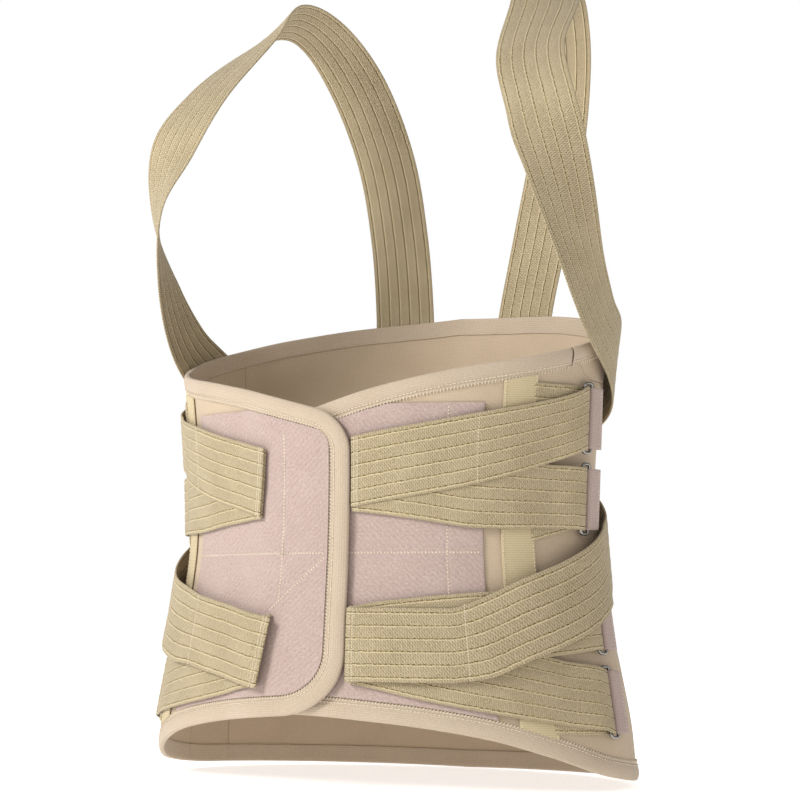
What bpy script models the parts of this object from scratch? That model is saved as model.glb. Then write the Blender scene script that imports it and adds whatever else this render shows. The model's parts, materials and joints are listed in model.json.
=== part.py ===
"""Thoraco-lumbar support belt, worn shape: body panels, tension straps, rings and shoulder straps.

Metres, +Z up, wearer faces -Y, +X is the wearer's left. The origin is the middle of the waist.
Every soft piece is a sheet laid over a torso form and thickened. A place on the form is given by
its arc (distance round the waist from the centre front, towards the piece's own side), its
height and its lift off the form.
"""
import math

import bmesh
import bpy
import numpy as np
from mathutils import Matrix, Vector

COLLECTION_NAME = "lumbar_support_belt"
PIVOT_DISPLAY_SIZE = 0.03

# ---- torso form: height, half width, front half depth, back half depth
TORSO_STATIONS = (
    (-0.260, 0.203, 0.128, 0.132),
    (-0.200, 0.199, 0.125, 0.128),
    (-0.150, 0.190, 0.121, 0.122),
    (-0.100, 0.179, 0.115, 0.113),
    (-0.050, 0.1725, 0.110, 0.103),
    (0.000, 0.1715, 0.1085, 0.100),
    (0.050, 0.176, 0.111, 0.106),
    (0.100, 0.181, 0.115, 0.115),
    (0.150, 0.185, 0.118, 0.122),
)

# ---- belt outline by arc
TOP_LINE = ((-0.035, 0.0375), (0.0, 0.048), (0.017, 0.053), (0.046, 0.061), (0.104, 0.0735),
            (0.157, 0.083), (0.198, 0.0935), (0.250, 0.112), (0.300, 0.127), (0.360, 0.137),
            (0.440, 0.142))
HEM_LINE = ((-0.035, -0.179), (0.0, -0.180), (0.060, -0.185), (0.094, -0.190), (0.126, -0.197),
            (0.160, -0.2085), (0.206, -0.225), (0.250, -0.231), (0.440, -0.235))
WING_SEAM_ARC = 0.230
SEAM_GAP = 0.0010
GUSSET_LINE = ((0.193, 0.0915), (0.215, 0.0705), (0.232, 0.0695))
GUSSET_TIP_GAP = 0.0045
GUSSET_LEDGE_GAP = 0.0022
GUSSET_BINDING_START = 0.2045
WING_PIVOT_LIFT = 0.006
WING_PIVOT_HEIGHTS = (-0.225, 0.066)
LEFT_FRONT_EDGE = -0.030
RIGHT_FRONT_EDGE = -0.029
CORNER_TOP_RADIUS = 0.024
CORNER_HEM_RADIUS = 0.045
HIDDEN_CORNER_RADIUS = 0.017

# ---- fineness of the grids
ARC_TABLE_LENGTH = 4001
STATION_SPACING = 0.017
FLAT_SPACING = 0.016
SIDE_SPACING = 0.010
EDGE_SPACING = 0.025
SIDE_ARCS = (0.120, 0.330)
LAST_ARC = 0.445
# a station this share of the spacing away from a piece's end is left out
END_CLEARANCE_SHARE = 0.4
DIRECTION_STEP = 0.01
PANEL_LINES = 11
BACK_ROWS_BELOW = 11
BACK_ROWS_ABOVE = 3
PAD_LINES = 10
UPRIGHT_TAPE_LINES = 14
STRAP_LINES = 4
PATCH_LINES = 3
CLOSURE_PATCH_LINES = 6
KEEPER_LINES = 3
LARGE_CORNER_STEPS = 7
SMALL_CORNER_STEPS = 6
PAD_CORNER_STEPS = 5
FOLD_STEPS = 5
KEEPER_TURN_STEPS = 6

# ---- cloth thicknesses and the lift of each layer's mid surface
PANEL_THICKNESS = 0.0024
TAPE_THICKNESS = 0.0010
ELASTIC_THICKNESS = 0.0014
BINDING_THICKNESS = 0.0006
KEEPER_THICKNESS = 0.0008
STAY_THICKNESS = 0.0010
LIFT_PANEL = 0.0012
LIFT_PAD = 0.0037
LIFT_UNDER_RUN = 0.0039
LIFT_HOOK_PATCH = 0.0055
LIFT_LOWER_STRAP = 0.0075
LIFT_UPPER_STRAP = 0.0097
LIFT_RING_LEG = 0.0091
LIFT_WAIST_PATCH = 0.0117
LIFT_WAIST_STRAP = 0.0137
OVERLAP_LIFT = 0.0068
OVERLAP_RAMP = (0.034, 0.072)

# ---- bindings, pads and tapes
BINDING_WIDTH = 0.013
BINDING_GAP = 0.0008
BINDING_REACH = 0.0020
PAD_REAR_ARC = 0.128
PAD_TOP = 0.050
PAD_CLEARANCE = 0.0026
TAPE_ARCS = (0.141, 0.166)
UNDER_RUN_START = 0.1675

# ---- rings
RING_WIRE_RADIUS = 0.0013
RING_LENGTH = 0.0552
RING_PITCH = 0.010
RING_CORNER = 0.0020
FOLD_RADIUS = 0.0026
FOLD_TAIL = 0.015
# ends of the line of a pair's rear bars: arc, height, lift
UPPER_RING_LINE = ((0.212, -0.050, 0.0065), (0.212, 0.070, 0.0065))
LOWER_RING_LINE = ((0.209, -0.200, 0.0078), (0.216, -0.082, 0.0078))
KEEPER_LENGTH = 0.015
KEEPER_RADIUS = 0.0023
KEEPER_SLOT_DEPTH = 0.005
RING_BLEND = (0.012, 0.036)

# ---- tension straps: centre height by arc, from the front tab to the ring
STRAP_TAB_HEIGHT = 0.053
STRAP_RING_HEIGHT = 0.047
STRAP_TAPER_ARCS = (0.110, 0.195)
# arcs over which the outer and the inner strap of a pair settle to the ring's lift
OVER_SETTLING_ARCS = (0.178, 0.200)
UNDER_SETTLING_ARCS = (0.186, 0.200)
STRAP_NAMES = ("strap_1", "strap_2", "strap_3", "strap_4")
STRAP_CENTRES = {
    "strap_1": ((0.020, -0.003), (0.035, 0.0), (0.114, 0.014), (0.178, 0.030), (0.204, 0.0406)),
    "strap_2": ((0.020, -0.003), (0.035, -0.004), (0.080, -0.010), (0.125, -0.017),
                (0.204, -0.0204)),
    "strap_3": ((0.015, -0.129), (0.034, -0.127), (0.054, -0.1235), (0.130, -0.116),
                (0.204, -0.110)),
    "strap_4": ((0.015, -0.128), (0.034, -0.131), (0.080, -0.142), (0.129, -0.153),
                (0.204, -0.1714)),
}
RING_CENTRES = {"strap_1": 0.0406, "strap_2": -0.0204, "strap_3": -0.1100, "strap_4": -0.1714}
TAPE_CENTRES = {"strap_1": 0.0420, "strap_2": -0.0285, "strap_3": -0.1110, "strap_4": -0.1700}
TAB_ENDS = {"left": {"upper": 0.0315, "lower": 0.0315}, "right": {"upper": 0.037, "lower": 0.021}}
HOOK_PATCH_LENGTH = 0.078
HOOK_PATCH_HEIGHT = 0.047
PATCH_SETBACK = 0.002
CLOSURE_PATCH_SPAN = (-0.125, 0.012)
CLOSURE_PATCH_END = 0.017

# ---- shoulder straps
SHOULDER_STRAP_WIDTH = 0.054
WAIST_STRAP_CENTRES = ((0.015, -0.1285), (0.034, -0.1285), (0.100, -0.1290), (0.116, -0.1260),
                       (0.153, -0.1090), (0.180, -0.0975), (0.205, -0.0850), (0.229, -0.0700))
WAIST_STRAP_HEIGHTS = ((0.015, 0.054), (0.104, 0.054), (0.130, 0.059), (0.229, 0.0590))
WAIST_STRAP_LIFTS = ((0.015, LIFT_WAIST_STRAP), (0.200, LIFT_WAIST_STRAP), (0.212, 0.0132),
                     (0.222, 0.0124), (0.229, 0.0115))
WAIST_STRAP_REAR = 0.2290
WAIST_PIVOT_LIFT = 0.0124
WAIST_PATCH_LENGTH = 0.070
# free run over the left shoulder: centre point, then the direction towards its inner edge
FREE_RUN = (
    ((0.056, 0.1215, 0.108), (-1.0, 0.12, 0.0)),
    ((0.059, 0.1285, 0.150), (-1.0, 0.12, 0.0)),
    ((0.070, 0.138, 0.220), (-1.0, 0.10, 0.1)),
    ((0.084, 0.139, 0.290), (-0.97, 0.10, 0.15)),
    ((0.099, 0.118, 0.352), (-0.93, 0.0, 0.25)),
    ((0.112, 0.080, 0.392), (-0.86, -0.30, 0.30)),
    ((0.124, 0.043, 0.400), (-0.77, -0.54, 0.33)),
    ((0.136, 0.006, 0.369), (-0.94, -0.31, 0.10)),
    ((0.149, -0.044, 0.321), (-0.94, -0.30, -0.18)),
    ((0.168, -0.066, 0.274), (-0.93, -0.23, -0.27)),
    ((0.183, -0.066, 0.219), (-0.68, -0.73, 0.00)),
    ((0.188, -0.041, 0.162), (-0.27, -0.96, -0.10)),
    ((0.190, -0.012, 0.120), (-0.05, -0.82, -0.57)),
    ((0.188, 0.020, 0.096), (0.02, -0.50, -0.86)),
)
# run across the back, from the strap's own side: arc past the centre back, height, lift
WRAP_RUN = ((-0.177, 0.077, 0.0100), (-0.139, 0.063, 0.0100), (-0.099, 0.049, 0.0100),
            (-0.049, 0.032, 0.0100), (0.000, 0.014, 0.0100), (0.051, -0.004, 0.0100),
            (0.101, -0.022, 0.0100), (0.146, -0.039, 0.0100), (0.181, -0.054, 0.0104))
WRAP_END_HEIGHT = -0.0690
WRAP_END_LIFT = 0.0115
CROSSING_EXTRA_LIFT = 0.0045
CROSSING_SPAN = (-0.140, -0.098, 0.098, 0.140)

# ---- back stays
STAY_WIDTH = 0.012
STAY_OFFSETS = (0.024, 0.062)
STAY_SPAN = (-0.212, 0.120)
CASING_OFFSETS = (0.008, 0.078)
CASING_OVERRUN = 0.004
LIFT_STAY = 0.0040
LIFT_CASING = 0.0062
CASING_THICKNESS = 0.0008

COLOURS = {
    "fabric": (0.545, 0.440, 0.325),
    "binding": (0.665, 0.570, 0.465),
    "loop": (0.625, 0.490, 0.455),
    "tape": (0.560, 0.455, 0.320),
    "elastic": (0.500, 0.410, 0.275),
    "hook": (0.620, 0.530, 0.410),
    "keeper": (0.720, 0.680, 0.640),
    "steel": (0.300, 0.290, 0.280),
    "stay": (0.620, 0.620, 0.630),
}
METALS = ("steel", "stay")
METAL_ROUGHNESS = 0.35
CLOTH_ROUGHNESS = 0.85


def interpolate(points, x):
    """Value at x of a smooth curve without overshoot through (x, value) points."""
    xs = [p[0] for p in points]
    ys = [p[1] for p in points]
    if x <= xs[0]:
        return ys[0]
    if x >= xs[-1]:
        return ys[-1]
    slopes = [(ys[i + 1] - ys[i]) / (xs[i + 1] - xs[i]) for i in range(len(xs) - 1)]
    tangents = [slopes[0]]
    for before, after in zip(slopes, slopes[1:]):
        same_way = before * after > 0.0
        tangents.append(2.0 * before * after / (before + after) if same_way else 0.0)
    tangents.append(slopes[-1])
    i = max(k for k in range(len(xs) - 1) if xs[k] <= x)
    span = xs[i + 1] - xs[i]
    f = (x - xs[i]) / span
    return ((2 * f ** 3 - 3 * f ** 2 + 1) * ys[i] + (f ** 3 - 2 * f ** 2 + f) * span * tangents[i]
            + (3 * f ** 2 - 2 * f ** 3) * ys[i + 1] + (f ** 3 - f ** 2) * span * tangents[i + 1])


def smooth_step(low, high, x):
    """0 below low, 1 above high, smooth between."""
    f = min(max((x - low) / (high - low), 0.0), 1.0)
    return f * f * (3.0 - 2.0 * f)


def column(index):
    """Stations of one torso measure against height."""
    return [(row[0], row[index]) for row in TORSO_STATIONS]


HALF_WIDTHS = column(1)
FRONT_DEPTHS = column(2)
BACK_DEPTHS = column(3)


def waist_arc_table():
    """Arc round the waist section against the section's angle, over one full turn."""
    angles = np.linspace(0.0, 2.0 * math.pi, ARC_TABLE_LENGTH)
    width = interpolate(HALF_WIDTHS, 0.0)
    depth = np.where(np.cos(angles) > 0.0, interpolate(FRONT_DEPTHS, 0.0),
                     interpolate(BACK_DEPTHS, 0.0))
    speed = np.hypot(width * np.cos(angles), depth * np.sin(angles))
    steps = (speed[1:] + speed[:-1]) / 2.0 * np.diff(angles)
    return angles, np.concatenate([[0.0], np.cumsum(steps)])


ANGLES, ARCS = waist_arc_table()
BACK_CENTRE_ARC = float(ARCS[-1]) / 2.0


def on_form(arc, height, lift, side=1):
    """Point at an arc, a height and a lift off the torso form, on the left (1) or right (-1)."""
    angle = math.copysign(float(np.interp(abs(arc), ARCS, ANGLES)), arc)
    width = interpolate(HALF_WIDTHS, height) + lift
    depths = FRONT_DEPTHS if math.cos(angle) > 0.0 else BACK_DEPTHS
    depth = interpolate(depths, height) + lift
    return Vector((side * width * math.sin(angle), -depth * math.cos(angle), height))


def side_sign(side):
    """1 for the wearer's left, -1 for the right."""
    return 1 if side == "left" else -1


def base_lift(side, arc):
    """Lift of a front panel's inner face: the right one climbs over the left one."""
    if side == "left":
        return 0.0
    return OVERLAP_LIFT * (1.0 - smooth_step(*OVERLAP_RAMP, arc))


def top_height(arc):
    """Height of the belt's top edge."""
    return interpolate(TOP_LINE, arc)


def hem_height(arc):
    """Height of the belt's lower edge."""
    return interpolate(HEM_LINE, arc)


def corner_drop(distance, radius):
    """Drop of a rounded corner at a distance from the upright edge."""
    if distance >= radius:
        return 0.0
    return radius - math.sqrt(max(radius ** 2 - (radius - distance) ** 2, 0.0))


def wing_outline(side, arc, inset=0.0):
    """Hem and top height of a front panel at an arc, its edge moved in by inset."""
    edge = (LEFT_FRONT_EDGE if side == "left" else RIGHT_FRONT_EDGE) + inset
    radii = (HIDDEN_CORNER_RADIUS,) * 2
    if side == "right":
        radii = (CORNER_TOP_RADIUS, CORNER_HEM_RADIUS)
    top = top_height(arc) - inset - corner_drop(arc - edge, radii[0] - inset)
    hem = hem_height(arc) + inset + corner_drop(arc - edge, radii[1] - inset)
    if arc > GUSSET_LINE[0][0]:
        top = min(top, interpolate(GUSSET_LINE, arc) - inset)
    return hem, top


def spread(low, high, spacing):
    """Evenly spread values from low to high, no further apart than spacing."""
    return np.linspace(low, high, max(int(math.ceil((high - low) / spacing)), 1) + 1)


def form_stations(low, high):
    """Arcs from low to high on the form's own lattice, closer where it bends round the side."""
    arcs = [low]
    for spacing, span in ((FLAT_SPACING, (-SIDE_ARCS[0], SIDE_ARCS[0])),
                          (SIDE_SPACING, SIDE_ARCS), (FLAT_SPACING, (SIDE_ARCS[1], LAST_ARC))):
        count = int(round((span[1] - span[0]) / spacing))
        for arc in np.linspace(span[0], span[1], count + 1):
            clear = END_CLEARANCE_SHARE * spacing
            if arcs[-1] + clear < arc < high - clear:
                arcs.append(float(arc))
    return arcs + [high]


def material_for(name, kind):
    """A Principled material for one piece."""
    material = bpy.data.materials.new(name + "_" + kind)
    material.use_nodes = True
    shader = material.node_tree.nodes["Principled BSDF"]
    shader.inputs["Base Color"].default_value = (*COLOURS[kind], 1.0)
    shader.inputs["Roughness"].default_value = METAL_ROUGHNESS if kind in METALS else CLOTH_ROUGHNESS
    shader.inputs["Metallic"].default_value = 1.0 if kind in METALS else 0.0
    material.diffuse_color = (*COLOURS[kind], 1.0)
    return material


def add_object(name, data, kind, pivot):
    """Link an object, dress it and hang it on the empty of the body that it moves with."""
    obj = bpy.data.objects.new(name, data)
    bpy.data.collections[COLLECTION_NAME].objects.link(obj)
    data.materials.append(material_for(name, kind))
    if pivot is not None:
        obj.parent = pivot
        obj.matrix_parent_inverse = Matrix.Translation(-pivot.location)
    return obj


def sheet(name, us, vs, place, thickness, kind, pivot, is_open=None):
    """A cloth sheet: a grid placed by place(u, v) and thickened about its mid surface.

    is_open(column, row) says which of the grid's faces are left out.
    """
    mesh = bpy.data.meshes.new(name)
    bm = bmesh.new()
    bmesh.ops.create_grid(bm, x_segments=len(us) - 1, y_segments=len(vs) - 1, size=1.0)
    columns, rows = len(us) - 1, len(vs) - 1
    if is_open is not None:
        outside = [face for face in bm.faces
                   if is_open(int((face.calc_center_median().x + 1.0) / 2.0 * columns),
                              int((face.calc_center_median().y + 1.0) / 2.0 * rows))]
        bmesh.ops.delete(bm, geom=outside, context="FACES")
    for vert in bm.verts:
        i = round((vert.co.x + 1.0) / 2.0 * columns)
        j = round((vert.co.y + 1.0) / 2.0 * rows)
        vert.co = place(us[i], vs[j])
    bm.to_mesh(mesh)
    bm.free()
    obj = add_object(name, mesh, kind, pivot)
    solidify = obj.modifiers.new("thickness", "SOLIDIFY")
    solidify.thickness = thickness
    solidify.offset = 0.0
    solidify.use_even_offset = True
    return obj


def pivot_empty(name, location):
    """An empty on a joint's axis, which the pieces of one moving body hang on."""
    empty = bpy.data.objects.new(name, None)
    empty.empty_display_size = PIVOT_DISPLAY_SIZE
    empty.location = location
    bpy.data.collections[COLLECTION_NAME].objects.link(empty)
    return empty


class RingLine:
    """The straight line of two rings' rear bars, and the directions of the straps on them."""

    def __init__(self, ends, side):
        self.sign = side_sign(side)
        (low_arc, low, lift), (high_arc, high, _) = ends
        self.low = on_form(low_arc, low, lift, self.sign)
        self.high = on_form(high_arc, high, lift, self.sign)
        self.arcs = (low_arc, high_arc)
        self.axis = (self.high - self.low).normalized()
        middle = (low_arc + high_arc) / 2.0
        height = (low + high) / 2.0
        ahead = on_form(middle - RING_PITCH, height, lift, self.sign)
        forward = ahead - on_form(middle, height, lift, self.sign)
        self.forward = (forward - self.axis * forward.dot(self.axis)).normalized()
        self.outward = self.axis.cross(self.forward) * -self.sign
        if self.outward.x * self.sign < 0.0:
            self.outward = -self.outward

    def at(self, height, ahead, out):
        """Point at a height, a distance ahead of the rear bars and a distance outward."""
        share = (height - self.low.z) / (self.high.z - self.low.z)
        return self.low.lerp(self.high, share) + self.forward * ahead + self.outward * out

    def arc_at(self, height):
        """Arc of the rear bars at a height."""
        share = (height - self.low.z) / (self.high.z - self.low.z)
        return self.arcs[0] + (self.arcs[1] - self.arcs[0]) * share


def panel(name, side, pivot):
    """A front panel, from its free front edge to the side seam."""
    edge = LEFT_FRONT_EDGE if side == "left" else RIGHT_FRONT_EDGE
    corner = [edge + CORNER_HEM_RADIUS * (1.0 - math.cos(a)) for a in
              np.linspace(0.0, math.pi / 2.0, LARGE_CORNER_STEPS)]
    arcs = corner + form_stations(corner[-1], WING_SEAM_ARC)[1:]

    def place(arc, share):
        hem, top = wing_outline(side, arc)
        lift = LIFT_PANEL + base_lift(side, arc)
        return on_form(arc, hem + (top - hem) * share, lift, side_sign(side))

    return sheet(name, arcs, np.linspace(0.0, 1.0, PANEL_LINES), place, PANEL_THICKNESS, "fabric",
                 pivot)


def back_panel():
    """The back panel: side seam to side seam, with a gusset over each front panel's shoulder."""
    seam = WING_SEAM_ARC + SEAM_GAP
    low_line = [(arc, height + GUSSET_LEDGE_GAP) for arc, height in GUSSET_LINE]
    gusset = list(spread(GUSSET_LINE[0][0] + GUSSET_TIP_GAP, seam, SIDE_SPACING))[:-1]
    half = gusset + form_stations(seam, BACK_CENTRE_ARC)
    whole = [(1, arc) for arc in half] + [(-1, arc) for arc in reversed(half[:-1])]
    rows = list(np.linspace(-1.0, 0.0, BACK_ROWS_BELOW + 1))
    rows += list(np.linspace(0.0, 1.0, BACK_ROWS_ABOVE + 1))[1:]

    def place(where, row):
        sign, arc = where
        ledge = interpolate(low_line, arc)
        reach = top_height(arc) - ledge if row > 0.0 else ledge - hem_height(arc)
        return on_form(arc, ledge + reach * row, LIFT_PANEL, sign)

    def below_gusset(column_index, row_index):
        in_gusset = min(column_index, len(whole) - 2 - column_index) < len(gusset)
        return in_gusset and row_index < BACK_ROWS_BELOW

    return sheet("back_panel", whole, rows, place, PANEL_THICKNESS, "fabric", None,
                 below_gusset)


def binding_offset(fold):
    """Reach past the panel's edge and lift of a binding's four lines, inner leg to outer leg."""
    inner = -BINDING_GAP
    outer = PANEL_THICKNESS + BINDING_GAP
    return ((-BINDING_WIDTH, inner), (BINDING_REACH / 2.0, inner),
            (BINDING_REACH / 2.0, outer), (-BINDING_WIDTH, outer))[fold]


def binding(name, path, pivot, side, lift_at):
    """A tape folded over an edge. path holds (arc, height, outward arc, outward height)."""
    def place(step, fold):
        arc, height, out_arc, out_height = path[step]
        reach, lift = binding_offset(fold)
        arc += out_arc * reach
        height += out_height * reach
        return on_form(arc, height, lift + lift_at(arc), side_sign(side))

    return sheet(name, range(len(path)), range(4), place, BINDING_THICKNESS, "binding", pivot)


def edge_path(points):
    """Add the outward direction to (arc, height) points that run hem, front edge, top."""
    path = []
    for i, (arc, height) in enumerate(points):
        before = points[max(i - 1, 0)]
        after = points[min(i + 1, len(points) - 1)]
        run = Vector((after[0] - before[0], after[1] - before[1])).normalized()
        path.append((arc, height, -run.y, run.x))
    path[0] = (*points[0], 0.0, -1.0)
    path[-1] = (*points[-1], 0.0, 1.0)
    return path


def wing_edge_points(side):
    """Points along a front panel's bound edge: hem, free front edge, then top."""
    edge = LEFT_FRONT_EDGE if side == "left" else RIGHT_FRONT_EDGE
    radii = (HIDDEN_CORNER_RADIUS,) * 2
    if side == "right":
        radii = (CORNER_HEM_RADIUS, CORNER_TOP_RADIUS)
    hem_arcs = reversed(form_stations(edge + radii[0], WING_SEAM_ARC))
    points = [(arc, hem_height(arc)) for arc in hem_arcs]
    for angle in np.linspace(0.0, math.pi / 2.0, LARGE_CORNER_STEPS)[1:]:
        arc = edge + radii[0] * (1.0 - math.sin(angle))
        points.append((arc, hem_height(arc) + radii[0] * (1.0 - math.cos(angle))))
    top_arcs = form_stations(edge + radii[1], GUSSET_LINE[0][0] - SEAM_GAP)
    corner = []
    for angle in np.linspace(0.0, math.pi / 2.0, SMALL_CORNER_STEPS)[1:]:
        arc = edge + radii[1] * (1.0 - math.sin(angle))
        corner.append((arc, top_height(arc) - radii[1] * (1.0 - math.cos(angle))))
    low, high = points[-1][1], corner[-1][1]
    points += [(edge, z) for z in spread(low, high, EDGE_SPACING)[1:-1]]
    return points + corner[::-1] + [(arc, top_height(arc)) for arc in top_arcs]


def loop_pad(name, side, pivot):
    """The brushed loop field on a front panel, where the hook tabs fasten."""
    edge = LEFT_FRONT_EDGE if side == "left" else RIGHT_FRONT_EDGE
    inset = BINDING_WIDTH + PAD_CLEARANCE
    front = edge + inset

    def place(arc, share):
        hem, top = wing_outline(side, arc, inset)
        top = min(top, PAD_TOP)
        lift = LIFT_PAD + base_lift(side, arc)
        return on_form(arc, hem + (top - hem) * share, lift, side_sign(side))

    corner = [front + (CORNER_HEM_RADIUS - inset) * (1.0 - math.cos(a))
              for a in np.linspace(0.0, math.pi / 2.0, PAD_CORNER_STEPS)]
    arcs = corner + form_stations(corner[-1], PAD_REAR_ARC)[1:]
    return sheet(name, arcs, np.linspace(0.0, 1.0, PAD_LINES), place, TAPE_THICKNESS, "loop",
                 pivot)


def upright_tape(name, arcs, low, high, lift, thickness, kind, pivot, side):
    """A strip that runs up the belt between two arcs, low and high being heights by arc."""
    def place(arc, share):
        return on_form(arc, low(arc) + (high(arc) - low(arc)) * share, lift, side_sign(side))

    return sheet(name, spread(*arcs, FLAT_SPACING), np.linspace(0.0, 1.0, UPRIGHT_TAPE_LINES),
                 place, thickness, kind, pivot)


def strap_height(strap, arc):
    """Upright height of a tension strap, a little narrower near its ring."""
    taper = smooth_step(*STRAP_TAPER_ARCS, arc)
    return STRAP_TAB_HEIGHT + (STRAP_RING_HEIGHT - STRAP_TAB_HEIGHT) * taper


def tension_strap(name, strap, line, tab_end, side, pivot):
    """The outer run of a tension strap: front tab, over the side, and folded round its ring."""
    over = strap in ("strap_1", "strap_3")
    lift_far = LIFT_UPPER_STRAP if over else LIFT_LOWER_STRAP
    settling = OVER_SETTLING_ARCS if over else UNDER_SETTLING_ARCS
    ring_arc = line.arc_at(RING_CENTRES[strap])
    runs = [(arc, None) for arc in form_stations(tab_end, ring_arc - RING_BLEND[0])]
    turn = [(RING_PITCH + FOLD_RADIUS * -math.sin(a), FOLD_RADIUS * math.cos(a))
            for a in np.linspace(0.0, math.pi, FOLD_STEPS)]
    stations = runs + [(None, fold) for fold in turn + [(FOLD_TAIL, -FOLD_RADIUS)]]

    def place(station, share):
        arc, fold = station
        across = share - 0.5
        if fold is not None:
            height = RING_CENTRES[strap] + across * STRAP_RING_HEIGHT
            return line.at(height, *fold)
        height = interpolate(STRAP_CENTRES[strap], arc) + across * strap_height(strap, arc)
        lift = lift_far + (LIFT_RING_LEG - lift_far) * smooth_step(*settling, arc)
        free = on_form(arc, height, lift + base_lift(side, arc), side_sign(side))
        ahead = ring_arc - arc
        held = line.at(height, ahead, FOLD_RADIUS)
        return free.lerp(held, 1.0 - smooth_step(*RING_BLEND, ahead))

    return sheet(name, stations, np.linspace(0.0, 1.0, STRAP_LINES), place, ELASTIC_THICKNESS,
                 "elastic", pivot)


def under_run(name, strap, line, side, pivot):
    """The strap's inner run, sewn at the tape and running back to the ring."""
    ring_arc = line.arc_at(RING_CENTRES[strap])
    end = ring_arc - FOLD_TAIL - SEAM_GAP

    def place(arc, share):
        f = (arc - UNDER_RUN_START) / (end - UNDER_RUN_START)
        centre = TAPE_CENTRES[strap] + (RING_CENTRES[strap] - TAPE_CENTRES[strap]) * f
        height = centre + (share - 0.5) * STRAP_RING_HEIGHT
        ahead = ring_arc - arc
        free = on_form(arc, height, LIFT_UNDER_RUN, side_sign(side))
        held = line.at(height, ahead, -FOLD_RADIUS)
        return free.lerp(held, 1.0 - smooth_step(*RING_BLEND, ahead))

    return sheet(name, spread(UNDER_RUN_START, end, SIDE_SPACING),
                 np.linspace(0.0, 1.0, STRAP_LINES), place, ELASTIC_THICKNESS, "elastic", pivot)


def keeper(name, line, straps, side, pivot):
    """A tape folded round two rings' rear bars, slotted between them and sewn down behind."""
    turn = [(KEEPER_RADIUS * math.sin(a), -KEEPER_RADIUS * math.cos(a))
            for a in np.linspace(0.0, math.pi, KEEPER_TURN_STEPS)]
    rear = (-KEEPER_LENGTH, -KEEPER_RADIUS + 2.0 * KEEPER_THICKNESS)
    slot_end = Vector(turn[-1]).lerp(Vector(rear), KEEPER_SLOT_DEPTH / KEEPER_LENGTH)
    profile = [(-KEEPER_LENGTH, -KEEPER_RADIUS)] + turn + [slot_end, rear]
    reach = RING_LENGTH / 2.0 - 2.0 * RING_WIRE_RADIUS - RING_CORNER
    heights = []
    for centre in sorted(RING_CENTRES[strap] for strap in straps):
        heights += list(np.linspace(centre - reach, centre + reach, KEEPER_LINES))
    between_rings = KEEPER_LINES - 1

    def place(height, fold):
        return line.at(height, *fold)

    def slotted(row, fold):
        return row == between_rings and 0 < fold < len(profile) - 2

    return sheet(name, heights, profile, place, KEEPER_THICKNESS, "keeper", pivot, slotted)


def ring(name, line, centre, pivot):
    """A rectangular wire ring, its rear bar on the swivel line."""
    reach = RING_LENGTH / 2.0 - RING_WIRE_RADIUS
    corners = ((reach, 0.0), (reach, RING_PITCH), (-reach, RING_PITCH), (-reach, 0.0))
    curve = bpy.data.curves.new(name, "CURVE")
    curve.dimensions = "3D"
    curve.bevel_depth = RING_WIRE_RADIUS
    curve.bevel_resolution = 1
    points = []
    for i, (up, ahead) in enumerate(corners):
        before = Vector(corners[i - 1])
        after = Vector(corners[(i + 1) % 4])
        corner = Vector((up, ahead))
        start = corner + (before - corner).normalized() * RING_CORNER
        end = corner + (after - corner).normalized() * RING_CORNER
        points += [start, (start + end + 2.0 * corner) / 4.0, end]
    spline = curve.splines.new("POLY")
    spline.use_cyclic_u = True
    spline.points.add(len(points) - 1)
    middle = line.at(centre, 0.0, 0.0)
    for point, (up, ahead) in zip(spline.points, points):
        point.co = (*(middle + line.axis * up + line.forward * ahead), 1.0)
    return add_object(name, curve, "steel", pivot)


def patch_on_strap(name, side, start, length, centres, height, lift, pivot):
    """A hook patch under a strap's tab."""
    def place(arc, share):
        z = interpolate(centres, arc) + (share - 0.5) * height
        return on_form(arc, z, lift + base_lift(side, arc), side_sign(side))

    return sheet(name, form_stations(start, start + length), np.linspace(0.0, 1.0, PATCH_LINES),
                 place, TAPE_THICKNESS, "hook", pivot)


def waist_strap(name, side, pivot):
    """The front end of a shoulder strap, from the side seam to its tab over the lower pair."""
    start = TAB_ENDS[side]["lower"]

    def place(arc, share):
        height = interpolate(WAIST_STRAP_CENTRES, arc)
        height += (share - 0.5) * interpolate(WAIST_STRAP_HEIGHTS, arc)
        lift = interpolate(WAIST_STRAP_LIFTS, arc) + base_lift(side, arc)
        return on_form(arc, height, lift, side_sign(side))

    return sheet(name, form_stations(start, WAIST_STRAP_REAR), np.linspace(0.0, 1.0, STRAP_LINES),
                 place, ELASTIC_THICKNESS, "elastic", pivot)


def catmull(points, f):
    """Point on a Catmull-Rom curve through points, f running over their indices."""
    i = min(int(f), len(points) - 2)
    p0, p1 = points[max(i - 1, 0)], points[i]
    p2, p3 = points[i + 1], points[min(i + 2, len(points) - 1)]
    t = f - i
    return 0.5 * (2.0 * p1 + (p2 - p0) * t + (2.0 * p0 - 5.0 * p1 + 4.0 * p2 - p3) * t ** 2
                  + (3.0 * p1 - p0 - 3.0 * p2 + p3) * t ** 3)


def crossing_lift(past_centre, side):
    """Extra lift of the right shoulder strap where it crosses over the left one."""
    if side == "left":
        return 0.0
    rise, top, fall, low = CROSSING_SPAN
    return CROSSING_EXTRA_LIFT * (smooth_step(rise, top, past_centre)
                                  - smooth_step(fall, low, past_centre))


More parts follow.
